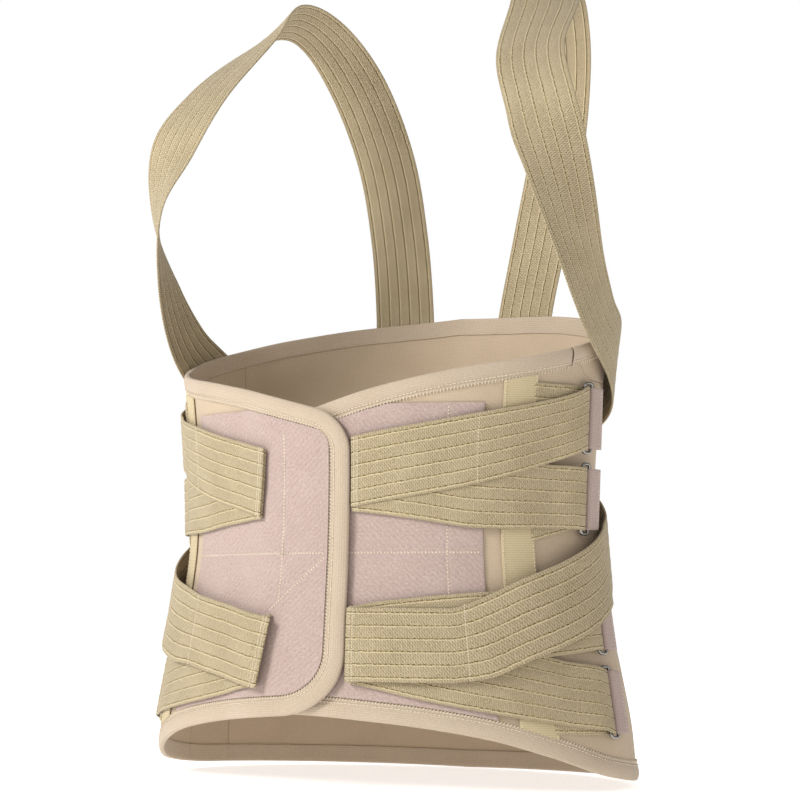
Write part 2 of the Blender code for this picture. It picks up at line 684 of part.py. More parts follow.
def shoulder_strap(name, side):
    """A shoulder strap: sewn at the back, over the shoulder, under the arm, across the back."""
    sign = side_sign(side)
    mirror = Vector((sign, 1.0, 1.0))
    centres = [Vector(centre) * mirror for centre, _ in FREE_RUN]
    across = [(Vector(inner) * mirror).normalized() for _, inner in FREE_RUN]
    wrap_end = BACK_CENTRE_ARC - WAIST_STRAP_REAR - 2.0 * SEAM_GAP
    run = WRAP_RUN + ((wrap_end, WRAP_END_HEIGHT, WRAP_END_LIFT),)
    heights = [(past_centre, height) for past_centre, height, _ in run]
    for past_centre, height, lift in run:
        arc = BACK_CENTRE_ARC + past_centre
        lift += crossing_lift(past_centre, side)
        step = DIRECTION_STEP
        up = on_form(arc, height + step, lift, sign) - on_form(arc, height - step, lift, sign)
        here = on_form(arc, height, lift, sign)
        if past_centre == wrap_end:
            inward = -up
        else:
            round_back = on_form(arc + step, height, lift, sign) - here
            run_to = interpolate(heights, past_centre + step)
            ahead = on_form(arc + step, run_to, lift, sign) - here
            inward = ahead.cross(round_back.cross(up))
        centres.append(here)
        across.append(inward.normalized())
    length = [0.0]
    for a, b in zip(centres, centres[1:]):
        length.append(length[-1] + (b - a).length)
    stops = np.interp(spread(0.0, length[-1], STATION_SPACING), length, range(len(centres)))

    def place(f, share):
        width_way = catmull(across, f).normalized()
        return catmull(centres, f) + width_way * (0.5 - share) * SHOULDER_STRAP_WIDTH

    return sheet(name, stops, (0.0, 0.5, 1.0), place, ELASTIC_THICKNESS, "elastic", None)


def build_back():
    """The pieces that stay with the wearer's back."""
    back_panel()
    top = [(1, a) for a in form_stations(GUSSET_BINDING_START, BACK_CENTRE_ARC)]
    hem = [(1, a) for a in form_stations(WING_SEAM_ARC + SEAM_GAP, BACK_CENTRE_ARC)]
    for name, half, height_at, up in (("back_top_binding", top, top_height, 1.0),
                                      ("back_hem_binding", hem, hem_height, -1.0)):
        whole = half + [(-1, a) for _, a in reversed(half[:-1])]

        def place(where, fold, height_at=height_at, up=up):
            sign, arc = where
            reach, lift = binding_offset(fold)
            return on_form(arc, height_at(arc) + up * reach, lift, sign)

        sheet(name, whole, range(4), place, BINDING_THICKNESS, "binding", None)
    for side in ("left", "right"):
        for i, offset in enumerate(STAY_OFFSETS):
            arcs = (BACK_CENTRE_ARC - offset - STAY_WIDTH / 2.0,
                    BACK_CENTRE_ARC - offset + STAY_WIDTH / 2.0)
            upright_tape(f"{side}_back_stay_{i + 1}", arcs, lambda _: STAY_SPAN[0],
                         lambda _: STAY_SPAN[1], LIFT_STAY, STAY_THICKNESS, "stay", None, side)
        arcs = (BACK_CENTRE_ARC - CASING_OFFSETS[1], BACK_CENTRE_ARC - CASING_OFFSETS[0])
        upright_tape(f"{side}_stay_casing", arcs, lambda _: STAY_SPAN[0] - CASING_OVERRUN,
                     lambda _: STAY_SPAN[1] + CASING_OVERRUN, LIFT_CASING, CASING_THICKNESS, "tape", None,
                     side)
        shoulder_strap(f"{side}_shoulder_strap", side)


def build_front(side):
    """One front panel with its pad, tape, straps, rings and the shoulder strap's front end."""
    sign = side_sign(side)
    seam_line = [on_form(WING_SEAM_ARC, z, WING_PIVOT_LIFT, sign) for z in WING_PIVOT_HEIGHTS]
    wing = pivot_empty(f"{side}_front_pivot", (seam_line[0] + seam_line[1]) / 2.0)
    panel(f"{side}_front_panel", side, wing)
    binding(f"{side}_front_binding", edge_path(wing_edge_points(side)), wing, side,
            lambda arc: base_lift(side, arc))
    loop_pad(f"{side}_loop_pad", side, wing)
    clear = BINDING_WIDTH + PAD_CLEARANCE
    upright_tape(f"{side}_anchor_tape", TAPE_ARCS, lambda arc: hem_height(arc) + clear,
                 lambda arc: top_height(arc) - clear, LIFT_PAD, TAPE_THICKNESS, "tape", wing, side)
    for pair, straps, ends in (("upper", STRAP_NAMES[:2], UPPER_RING_LINE),
                               ("lower", STRAP_NAMES[2:], LOWER_RING_LINE)):
        line = RingLine(ends, side)
        pivot = pivot_empty(f"{side}_{pair}_pivot", (line.low + line.high) / 2.0)
        tab_end = TAB_ENDS[side][pair]
        keeper(f"{side}_{pair}_keeper", line, straps, side, wing)
        for strap in straps:
            under_run(f"{side}_{strap}_anchor_run", strap, line, side, wing)
            ring(f"{side}_{strap}_ring", line, RING_CENTRES[strap], pivot)
            tension_strap(f"{side}_{strap}", strap, line, tab_end, side, pivot)
        patch_on_strap(f"{side}_{pair}_hook_patch", side, tab_end + PATCH_SETBACK, HOOK_PATCH_LENGTH,
                       STRAP_CENTRES[straps[0]], HOOK_PATCH_HEIGHT, LIFT_HOOK_PATCH, pivot)
    waist_pivot = pivot_empty(f"{side}_waist_strap_pivot",
                              on_form(WAIST_STRAP_REAR, WAIST_STRAP_CENTRES[-1][1],
                                      WAIST_PIVOT_LIFT, sign))
    waist_strap(f"{side}_waist_strap", side, waist_pivot)
    patch_on_strap(f"{side}_waist_hook_patch", side, TAB_ENDS[side]["lower"] + PATCH_SETBACK,
                   WAIST_PATCH_LENGTH, WAIST_STRAP_CENTRES, HOOK_PATCH_HEIGHT, LIFT_WAIST_PATCH,
                   waist_pivot)


def build_closure_patch():
    """The hook patch inside the right front edge, which fastens on the left loop pad."""
    wing = bpy.data.objects["right_front_pivot"]
    arcs = (RIGHT_FRONT_EDGE + BINDING_WIDTH + PATCH_SETBACK, CLOSURE_PATCH_END)

    def place(arc, share):
        low, high = CLOSURE_PATCH_SPAN
        return on_form(arc, low + (high - low) * share, LIFT_HOOK_PATCH, -1)

    sheet("closure_hook_patch", form_stations(*arcs), np.linspace(0.0, 1.0, CLOSURE_PATCH_LINES),
          place, TAPE_THICKNESS, "hook", wing)


def main():
    """Clear the scene and build the belt."""
    for obj in list(bpy.data.objects):
        bpy.data.objects.remove(obj, do_unlink=True)
    collection = bpy.data.collections.new(COLLECTION_NAME)
    bpy.context.scene.collection.children.link(collection)
    build_back()
    for side in ("left", "right"):
        build_front(side)
    build_closure_patch()


main()
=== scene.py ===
"""Dresses the tall back-support belt: knitted panels, brushed loop fields, elastic webbing,
folded bindings, sewing threads and bent-wire rings.

Metres, +Z up, the wearer faces -Y and +X is the wearer's left. Every cloth piece is a grid laid
over the torso form by arc (distance round the waist from the centre front), height and lift.
"""

import json
import logging
import math
from dataclasses import dataclass, field
from enum import Enum

import bmesh
import bpy
import numpy as np
from mathutils import Matrix, Vector

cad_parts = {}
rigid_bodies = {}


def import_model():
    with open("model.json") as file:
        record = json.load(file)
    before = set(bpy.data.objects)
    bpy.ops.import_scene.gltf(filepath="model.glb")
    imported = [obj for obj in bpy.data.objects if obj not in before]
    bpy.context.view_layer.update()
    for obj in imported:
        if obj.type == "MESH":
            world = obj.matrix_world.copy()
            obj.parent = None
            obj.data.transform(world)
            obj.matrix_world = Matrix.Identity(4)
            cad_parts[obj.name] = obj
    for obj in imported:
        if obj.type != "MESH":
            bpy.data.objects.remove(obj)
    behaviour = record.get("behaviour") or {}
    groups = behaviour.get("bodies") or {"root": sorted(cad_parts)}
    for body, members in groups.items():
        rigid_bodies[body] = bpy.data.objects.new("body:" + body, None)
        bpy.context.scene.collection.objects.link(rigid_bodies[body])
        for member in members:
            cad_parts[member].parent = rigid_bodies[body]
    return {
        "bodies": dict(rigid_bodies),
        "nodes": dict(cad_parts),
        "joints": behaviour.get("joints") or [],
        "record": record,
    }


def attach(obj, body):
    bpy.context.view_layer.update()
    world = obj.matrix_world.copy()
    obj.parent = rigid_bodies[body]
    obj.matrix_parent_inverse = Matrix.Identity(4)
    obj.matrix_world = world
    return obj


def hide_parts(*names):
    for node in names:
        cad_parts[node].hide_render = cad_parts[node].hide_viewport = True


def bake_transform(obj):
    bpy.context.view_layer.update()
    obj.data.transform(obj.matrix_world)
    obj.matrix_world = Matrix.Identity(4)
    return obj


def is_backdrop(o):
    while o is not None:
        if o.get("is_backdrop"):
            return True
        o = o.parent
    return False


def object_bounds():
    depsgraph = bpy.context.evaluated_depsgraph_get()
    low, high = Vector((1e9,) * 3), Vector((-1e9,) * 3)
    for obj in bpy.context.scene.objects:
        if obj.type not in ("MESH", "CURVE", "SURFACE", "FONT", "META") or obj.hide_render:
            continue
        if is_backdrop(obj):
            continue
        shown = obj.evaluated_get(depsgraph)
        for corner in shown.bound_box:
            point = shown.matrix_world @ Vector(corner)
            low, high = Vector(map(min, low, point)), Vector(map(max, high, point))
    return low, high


LOG = logging.getLogger("support_belt")
UV_LAYER = "cloth_mm"
MM = 0.001
STITCH_BATCH = 40
TAB_LENGTH = 0.06
CLEARANCE = 0.0004
TAPE_THICKNESS = 0.001
ACROSS = np.linspace(-0.5, 0.5, 61)[None, :]
PATCH_ACROSS = np.linspace(-0.5, 0.5, 17)[None, :]


class Side(Enum):
    """The wearer's sides, valued by the sign of X."""

    LEFT = 1
    RIGHT = -1

    @property
    def word(self) -> str:
        """The side's name inside piece names."""
        return self.name.lower()

    @property
    def other(self) -> "Side":
        """The opposite side."""
        return Side(-self.value)


class Thread(Enum):
    """The sewing threads."""

    GOLD = "gold"
    PALE = "pale"


class Slot(Enum):
    """The record's material slots."""

    BODY = "body_fabric"
    BINDING = "binding_tape"
    LOOP = "loop_fabric"
    TAPE = "woven_tape"
    ELASTIC = "elastic_webbing"
    HOOK = "hook_fabric"
    KEEPER = "keeper_tape"
    WIRE = "ring_wire"
    STEEL = "spring_steel"


# ---------------------------------------------------------------- curves and the torso form
def smooth_curve(points: tuple, x: np.ndarray) -> np.ndarray:
    """Read a smooth curve without overshoot.

    Args:
        points: (x, value) pairs in order.
        x: where to read it; past the ends it keeps the end values.

    Returns:
        The values at x.
    """
    xs, ys = np.array(points, float).T
    slopes = np.diff(ys) / np.diff(xs)
    before, after = slopes[:-1], slopes[1:]
    together = np.where(before * after > 0.0, before + after, 1.0)
    inner = np.where(before * after > 0.0, 2.0 * before * after / together, 0.0)
    tangents = np.concatenate([slopes[:1], inner, slopes[-1:]])
    x = np.clip(np.asarray(x, float), xs[0], xs[-1])
    i = np.clip(np.searchsorted(xs, x, side="right") - 1, 0, len(xs) - 2)
    span = xs[i + 1] - xs[i]
    f = (x - xs[i]) / span
    return ((2 * f ** 3 - 3 * f ** 2 + 1) * ys[i] + (f ** 3 - 2 * f ** 2 + f) * span * tangents[i]
            + (3 * f ** 2 - 2 * f ** 3) * ys[i + 1] + (f ** 3 - f ** 2) * span * tangents[i + 1])


def smooth_step(low: float, high: float, x: np.ndarray) -> np.ndarray:
    """0 below low, 1 above high, smooth between."""
    f = np.clip((np.asarray(x, float) - low) / (high - low), 0.0, 1.0)
    return f * f * (3.0 - 2.0 * f)


def bump_at(centre: float, width: float, x: np.ndarray) -> np.ndarray:
    """A round bump of height 1 at centre that is gone two widths away."""
    return np.exp(-((np.asarray(x, float) - centre) / width) ** 2)


def catmull(points: np.ndarray, f: np.ndarray) -> np.ndarray:
    """Points on a Catmull-Rom curve.

    Args:
        points: the (n, 3) points that the curve goes through.
        f: positions along it, counted in points.

    Returns:
        One point for each f.
    """
    last = len(points) - 1
    i = np.clip(f.astype(int), 0, last - 1)
    t = (f - i)[:, None]
    p0, p1 = points[np.maximum(i - 1, 0)], points[i]
    p2, p3 = points[i + 1], points[np.minimum(i + 2, last)]
    return 0.5 * (2.0 * p1 + (p2 - p0) * t + (2.0 * p0 - 5.0 * p1 + 4.0 * p2 - p3) * t ** 2
                  + (3.0 * p1 - p0 - 3.0 * p2 + p3) * t ** 3)


def stations(low: float, high: float, spacing: float) -> np.ndarray:
    """Even stations from low to high, no further apart than spacing."""
    return np.linspace(low, high, max(int(math.ceil((high - low) / spacing)), 1) + 1)


def unit(vectors: np.ndarray) -> np.ndarray:
    """Vectors scaled to length 1."""
    return vectors / np.maximum(np.linalg.norm(vectors, axis=-1, keepdims=True), 1e-12)


@dataclass
class TorsoForm:
    """The torso that the belt is shaped to: half ellipses front and back at each height."""

    half_widths: tuple = ((-0.260, 0.203), (-0.200, 0.199), (-0.150, 0.190), (-0.100, 0.179),
                          (-0.050, 0.1725), (0.000, 0.1715), (0.050, 0.176), (0.100, 0.181),
                          (0.150, 0.185))
    front_depths: tuple = ((-0.260, 0.128), (-0.200, 0.125), (-0.150, 0.121), (-0.100, 0.115),
                           (-0.050, 0.110), (0.000, 0.1085), (0.050, 0.111), (0.100, 0.115),
                           (0.150, 0.118))
    back_depths: tuple = ((-0.260, 0.132), (-0.200, 0.128), (-0.150, 0.122), (-0.100, 0.113),
                          (-0.050, 0.103), (0.000, 0.100), (0.050, 0.106), (0.100, 0.115),
                          (0.150, 0.122))
    angles: np.ndarray = field(init=False)
    arcs: np.ndarray = field(init=False)

    def __post_init__(self) -> None:
        """Measure the arc round the waist against the section's angle."""
        self.angles = np.linspace(0.0, 2.0 * math.pi, 4001)
        depth = np.where(np.cos(self.angles) > 0.0, smooth_curve(self.front_depths, 0.0),
                         smooth_curve(self.back_depths, 0.0))
        width = float(smooth_curve(self.half_widths, 0.0))
        speed = np.hypot(width * np.cos(self.angles), depth * np.sin(self.angles))
        steps = (speed[1:] + speed[:-1]) / 2.0 * np.diff(self.angles)
        self.arcs = np.concatenate([[0.0], np.cumsum(steps)])

    @property
    def back_centre(self) -> float:
        """The arc of the centre back."""
        return float(self.arcs[-1]) / 2.0

    def at(self, arc: np.ndarray, height: np.ndarray, lift: np.ndarray, side: Side) -> np.ndarray:
        """Points on the form.

        Args:
            arc: distance round the waist from the centre front towards the side.
            height: height above the waist.
            lift: distance off the form.
            side: the side that the arc runs towards.

        Returns:
            An array of points, shaped as the inputs broadcast, with a last axis of 3.
        """
        arc, height, lift = np.broadcast_arrays(arc, height, lift)
        angle = np.copysign(np.interp(np.abs(arc), self.arcs, self.angles), arc)
        width = smooth_curve(self.half_widths, height) + lift
        depth = np.where(np.cos(angle) > 0.0, smooth_curve(self.front_depths, height),
                         smooth_curve(self.back_depths, height)) + lift
        return np.stack([side.value * width * np.sin(angle), -depth * np.cos(angle), height], -1)


@dataclass(frozen=True)
class Outline:
    """The belt's cut: its top and hem by arc, the front panels' corners and the side gusset."""

    top_line: tuple = ((-0.035, 0.0375), (0.0, 0.048), (0.017, 0.053), (0.046, 0.061),
                       (0.104, 0.0735), (0.157, 0.083), (0.198, 0.0935), (0.250, 0.112),
                       (0.300, 0.127), (0.360, 0.137), (0.440, 0.142))
    hem_line: tuple = ((-0.035, -0.179), (0.0, -0.180), (0.060, -0.185), (0.094, -0.190),
                       (0.126, -0.197), (0.160, -0.2085), (0.206, -0.225), (0.250, -0.231),
                       (0.440, -0.235))
    gusset_line: tuple = ((0.193, 0.0915), (0.215, 0.0705), (0.232, 0.0695))
    seam: float = 0.230
    left_edge: float = -0.030
    right_edge: float = -0.029
    corner_top: float = 0.024
    corner_hem: float = 0.045
    hidden_corner: float = 0.017

    def top(self, arc: np.ndarray) -> np.ndarray:
        """Height of the top edge."""
        return smooth_curve(self.top_line, arc)

    def hem(self, arc: np.ndarray) -> np.ndarray:
        """Height of the lower edge."""
        return smooth_curve(self.hem_line, arc)

    def edge(self, side: Side) -> float:
        """Arc of a front panel's free edge."""
        return self.left_edge if side is Side.LEFT else self.right_edge

    def corners(self, side: Side) -> tuple:
        """Corner radii of a front panel, (top, hem)."""
        if side is Side.LEFT:
            return self.hidden_corner, self.hidden_corner
        return self.corner_top, self.corner_hem

    def wing(self, side: Side, arc: np.ndarray, inset: float = 0.0) -> tuple:
        """Hem and top height of a front panel.

        Args:
            side: which panel.
            arc: where, along the panel.
            inset: how far the whole edge is moved in.

        Returns:
            (hem heights, top heights).
        """
        edge = self.edge(side) + inset
        drops = []
        for radius in (self.corners(side)[0] - inset, self.corners(side)[1] - inset):
            away = np.clip(arc - edge, 0.0, radius)
            drops.append(radius - np.sqrt(np.maximum(radius ** 2 - (radius - away) ** 2, 0.0)))
        top = self.top(arc) - inset - drops[0]
        hem = self.hem(arc) + inset + drops[1]
        ledge = smooth_curve(self.gusset_line, arc) - inset
        return hem, np.where(arc > self.gusset_line[0][0], np.minimum(top, ledge), top)


FORM = TorsoForm()
CUT = Outline()


@dataclass(frozen=True)
class Layers:
    """Lift of each layer's mid surface off the form, from the skin outwards."""

    panel: float = 0.0012
    pad: float = 0.0035
    under_run: float = 0.0039
    hook_patch: float = 0.0047
    lower_strap: float = 0.0062
    upper_strap: float = 0.0079
    ring_leg: float = 0.0091
    waist_patch: float = 0.0096
    overlap: float = 0.0068
    overlap_ramp: tuple = (0.034, 0.072)

    def base(self, side: Side, arc: np.ndarray) -> np.ndarray:
        """Extra lift where the right front lies over the left one."""
        if side is Side.LEFT:
            return np.zeros_like(np.asarray(arc, float))
        return self.overlap * (1.0 - smooth_step(*self.overlap_ramp, arc))


LAYER = Layers()


# ---------------------------------------------------------------- materials
def linear(colour: str) -> tuple:
    """Turn an sRGB hex colour such as "#c2b09a" into linear RGBA."""
    parts = [int(colour[i:i + 2], 16) / 255.0 for i in (1, 3, 5)]
    rgb = [c / 12.92 if c <= 0.04045 else ((c + 0.055) / 1.055) ** 2.4 for c in parts]
    return (*rgb, 1.0)


def add_node(tree: bpy.types.NodeTree, kind: str, inputs: dict = None, **settings) -> bpy.types.Node:
    """Add a shader node.

    Args:
        tree: the node tree.
        kind: the node's type name, without its "ShaderNode".
        inputs: value or feeding socket for each input, by name or number.
        settings: the node's own properties.

    Returns:
        The new node.
    """
    node = tree.nodes.new(f"ShaderNode{kind}")
    for key, value in settings.items():
        setattr(node, key, value)
    for key, value in (inputs or {}).items():
        if isinstance(value, bpy.types.NodeSocket):
            tree.links.new(value, node.inputs[key])
        else:
            node.inputs[key].default_value = value
    return node


def wave_scale(pitch_mm: float) -> float:
    """The Wave node's scale for bands that repeat every pitch_mm on millimetre coordinates."""
    return math.pi / 10.0 / pitch_mm


@dataclass(frozen=True)
class Fabric:
    """A textile finish on millimetre cloth coordinates: U along the piece and V across it."""

    name: str
    lit: str
    shade: str
    pitch_mm: float
    relief_mm: float
    contrast: float = 0.6
    speckle: float = 0.7
    mottle: float = 0.25
    roughness: float = 0.88
    sheen: float = 0.15
    fleck_mm: float = 1.6
    cloud_mm: float = 28.0

    def weave(self, tree: bpy.types.NodeTree, cloth: bpy.types.NodeSocket) -> tuple:
        """The thread pattern.

        Args:
            tree: the material's nodes.
            cloth: millimetre cloth coordinates.

        Returns:
            (height socket, how lit the threads are) with values from 0 to 1.
        """
        rib = add_node(tree, "TexWave", {"Vector": cloth, "Scale": wave_scale(self.pitch_mm),
                                                   "Distortion": 0.6, "Detail": 1.0})
        return rib.outputs["Fac"], rib.outputs["Fac"]

    def marked(self, tree: bpy.types.NodeTree, cloth: bpy.types.NodeSocket,
               colour: bpy.types.Node) -> bpy.types.Node:
        """Draw any woven-in lines over the colour; plain cloth has none."""
        return colour

    def material(self) -> bpy.types.Material:
        """Build the material: clouded colour, thread relief, uneven roughness and a soft sheen."""
        material = bpy.data.materials.new(self.name)
        material.use_nodes = True
        tree = material.node_tree
        shader = tree.nodes["Principled BSDF"]
        cloth = add_node(tree, "UVMap", uv_map=UV_LAYER).outputs["UV"]
        height, lit = self.weave(tree, cloth)
        cloud = add_node(tree, "TexNoise", {"Vector": cloth, "Detail": 3.0,
                                                      "Scale": 1.0 / self.cloud_mm})
        fleck = add_node(tree, "TexNoise", {"Vector": cloth, "Detail": 2.0,
                                                      "Scale": 1.0 / self.fleck_mm,
                                                      "Roughness": 0.7})
        middle = 0.5 - 0.5 * (self.contrast + self.speckle + self.mottle)
        tone = add_node(tree, "Math", {0: lit, 1: self.contrast, 2: middle},
                        operation="MULTIPLY_ADD")
        tone = add_node(tree, "Math", {0: fleck.outputs["Fac"], 1: self.speckle,
                                                 2: tone.outputs[0]}, operation="MULTIPLY_ADD")
        tone = add_node(tree, "Math", {0: cloud.outputs["Fac"], 1: self.mottle,
                                                 2: tone.outputs[0]}, operation="MULTIPLY_ADD",
                        use_clamp=True)
        colour = add_node(tree, "Mix", {"Factor": tone.outputs[0], "A": linear(self.shade),
                                                  "B": linear(self.lit)}, data_type="RGBA")
        colour = self.marked(tree, cloth, colour)
        tree.links.new(colour.outputs["Result"], shader.inputs["Base Color"])
        rough = add_node(tree, "MapRange", {"Value": fleck.outputs["Fac"],
                                                      "To Min": self.roughness - 0.08,
                                                      "To Max": min(self.roughness + 0.08, 1.0)})
        tree.links.new(rough.outputs["Result"], shader.inputs["Roughness"])
        bump = add_node(tree, "Bump", {"Height": height, "Strength": 0.75,
                                                 "Distance": self.relief_mm * MM})
        tree.links.new(bump.outputs["Normal"], shader.inputs["Normal"])
        shader.inputs["Sheen Weight"].default_value = self.sheen
        shader.inputs["Sheen Roughness"].default_value = 0.5
        shader.inputs["Specular IOR Level"].default_value = 0.25
        return material


@dataclass(frozen=True)
class ElasticWebbing(Fabric):
    """Woven elastic: crosswise ribs broken into slanted grains, and thin woven lines."""

    line_pitch_mm: float = 9.4
    line_mm: float = 0.60
    ragged_mm: float = 1.4
    # The dark line colour is painted groove shade and the pale one is a painted highlight beside it.
    line_shade: str = "#54431c"
    line_light: str = "#dccba4"

    def from_line(self, tree: bpy.types.NodeTree, cloth: bpy.types.NodeSocket,
                  offset: float = 0.0) -> bpy.types.NodeSocket:
        """Distance across the webbing from the nearest woven line, moved by offset."""
        half = self.line_pitch_mm / 2.0
        parts = add_node(tree, "SeparateXYZ", {0: cloth})
        drift = add_node(tree, "TexNoise", {"Vector": cloth, "Scale": 0.22})
        ragged = add_node(tree, "Math", {0: drift.outputs["Fac"], 1: self.ragged_mm,
                                                   2: offset - self.ragged_mm / 2.0},
                          operation="MULTIPLY_ADD")
        moved = add_node(tree, "Math", {0: parts.outputs["Y"], 1: ragged.outputs[0]},
                         operation="ADD")
        fold = add_node(tree, "Math", {0: moved.outputs[0], 1: half},
                        operation="PINGPONG")
        return add_node(tree, "Math", {0: half, 1: fold.outputs[0]},
                        operation="SUBTRACT").outputs[0]

    def weave(self, tree: bpy.types.NodeTree, cloth: bpy.types.NodeSocket) -> tuple:
        """Slanted grains crossed by fine ribs, as Fabric.weave describes."""
        away = self.from_line(tree, cloth)
        parts = add_node(tree, "SeparateXYZ", {0: cloth})
        lean = add_node(tree, "Math", {0: parts.outputs["Y"], 1: 0.7,
                                                 2: parts.outputs["X"]}, operation="MULTIPLY_ADD")
        leaning = add_node(tree, "CombineXYZ", {"X": lean.outputs[0],
                                                          "Y": parts.outputs["Y"]})
        grain = add_node(tree, "TexWave", {"Vector": leaning.outputs[0],
                                                     "Scale": wave_scale(self.pitch_mm * 1.25),
                                                     "Distortion": 3.0, "Detail": 2.0,
                                                     "Detail Scale": 2.0})
        rib = add_node(tree, "TexWave", {"Vector": cloth,
                                                   "Scale": wave_scale(self.pitch_mm)})
        knit = add_node(tree, "Mix", {"Factor": 0.4, "A": grain.outputs["Fac"],
                                                "B": rib.outputs["Fac"]}, data_type="FLOAT")
        groove = add_node(tree, "MapRange", {"Value": away, "From Min": 0.0,
                                                       "From Max": 2.0 * self.line_mm})
        height = add_node(tree, "Math", {0: knit.outputs["Result"],
                                                   1: groove.outputs["Result"]},
                          operation="MULTIPLY")
        return height.outputs[0], knit.outputs["Result"]

    def marked(self, tree: bpy.types.NodeTree, cloth: bpy.types.NodeSocket,
               colour: bpy.types.Node) -> bpy.types.Node:
        """Draw each woven line as a thin broken painted groove shade with a painted highlight beside it.
        """
        wander = add_node(tree, "TexNoise", {"Vector": cloth, "Scale": 0.45,
                                                       "Detail": 1.0})
        # Paint a highlight 1 mm beside each woven line, then painted groove shade on the line itself.
        for tint, offset, strength in ((self.line_light, 1.0, 0.6), (self.line_shade, 0.0, 1.0)):
            away = self.from_line(tree, cloth, offset)
            band = add_node(tree, "MapRange", {"Value": away, "From Min": self.line_mm,
                                                         "From Max": self.line_mm * 0.4,
                                                         "To Max": strength})
            broken = add_node(tree, "MapRange", {"Value": wander.outputs["Fac"],
                                                           "From Min": 0.34, "From Max": 0.56,
                                                           "To Min": 0.55})
            amount = add_node(tree, "Math", {0: band.outputs["Result"],
                                                       1: broken.outputs["Result"]},
                              operation="MULTIPLY")
            colour = add_node(tree, "Mix", {"Factor": amount.outputs[0],
                                                      "A": colour.outputs["Result"],
                                                      "B": linear(tint)}, data_type="RGBA")
        return colour


@dataclass(frozen=True)
class Knit(Fabric):
    """Warp-knit cloth: fine wales along the piece crossed by finer courses."""

    def weave(self, tree: bpy.types.NodeTree, cloth: bpy.types.NodeSocket) -> tuple:
        """Wales times courses, as Fabric.weave describes."""
        wale = add_node(tree, "TexWave", {"Vector": cloth, "Scale": wave_scale(self.pitch_mm),
                                                    "Distortion": 0.4, "Detail": 1.0},
                        bands_direction="Y")
        course = add_node(tree, "TexWave", {"Vector": cloth,
                                                      "Scale": wave_scale(self.pitch_mm * 0.8),
                                                      "Distortion": 0.4, "Detail": 1.0})
        both = add_node(tree, "Math", {0: wale.outputs["Fac"], 1: course.outputs["Fac"]},
                        operation="MULTIPLY")
        return both.outputs[0], both.outputs[0]


@dataclass(frozen=True)
class LoopPile(Fabric):
    """Brushed nylon loop: a felted mat of tiny loops with no direction."""

    def weave(self, tree: bpy.types.NodeTree, cloth: bpy.types.NodeSocket) -> tuple:
        """Matted loops in faint slanted rows, as Fabric.weave describes."""
        curl = add_node(tree, "TexNoise", {"Vector": cloth, "Scale": 1.0 / self.pitch_mm,
                                                     "Detail": 4.0, "Roughness": 0.7,
                                                     "Distortion": 1.0})
        rows = add_node(tree, "TexWave", {"Vector": cloth, "Distortion": 4.0,
                                                    "Scale": wave_scale(self.pitch_mm * 1.4),
                                                    "Detail": 2.0, "Detail Scale": 2.0},
                        bands_direction="DIAGONAL")
        mat = add_node(tree, "Mix", {"Factor": 0.12, "A": curl.outputs["Fac"],
                                               "B": rows.outputs["Fac"]}, data_type="FLOAT")
        return mat.outputs["Result"], mat.outputs["Result"]


@dataclass(frozen=True)
class HookTape(Fabric):
    """Moulded nylon hooks in close rows."""

    def weave(self, tree: bpy.types.NodeTree, cloth: bpy.types.NodeSocket) -> tuple:
        """A close grid of hooks, as Fabric.weave describes."""
        hooks = add_node(tree, "TexVoronoi", {"Vector": cloth, "Scale": 1.0 / self.pitch_mm,
                                                        "Randomness": 0.15})
        tall = add_node(tree, "Math", {0: 1.0, 1: hooks.outputs["Distance"]},
                        operation="SUBTRACT")
        return tall.outputs[0], tall.outputs[0]


@dataclass(frozen=True)
class Metal:
    """A metal finish on object coordinates."""

    name: str
    colour: str
    roughness: float
    grain_mm: float
    stretch: tuple = (1.0, 1.0, 1.0)

    def material(self) -> bpy.types.Material:
        """Build the material: plain metal whose polish varies with a fine grain."""
        material = bpy.data.materials.new(self.name)
        material.use_nodes = True
        tree = material.node_tree
        shader = tree.nodes["Principled BSDF"]
        place = add_node(tree, "TexCoord")
        sized = add_node(tree, "Mapping", {"Vector": place.outputs["Object"],
                                                     "Scale": [s / (self.grain_mm * MM)
                                                               for s in self.stretch]})
        grain = add_node(tree, "TexNoise", {"Vector": sized.outputs["Vector"],
                                                      "Scale": 1.0, "Detail": 3.0})
        rough = add_node(tree, "MapRange", {"Value": grain.outputs["Fac"],
                                                      "To Min": self.roughness * 0.6,
                                                      "To Max": self.roughness * 1.6})
        tree.links.new(rough.outputs["Result"], shader.inputs["Roughness"])
        wear = add_node(tree, "Mix", {"Factor": grain.outputs["Fac"],
                                                "A": linear(self.colour), "B": linear("#b4b0aa")},
                        data_type="RGBA")
        tree.links.new(wear.outputs["Result"], shader.inputs["Base Color"])
        shader.inputs["Metallic"].default_value = 1.0
        return material


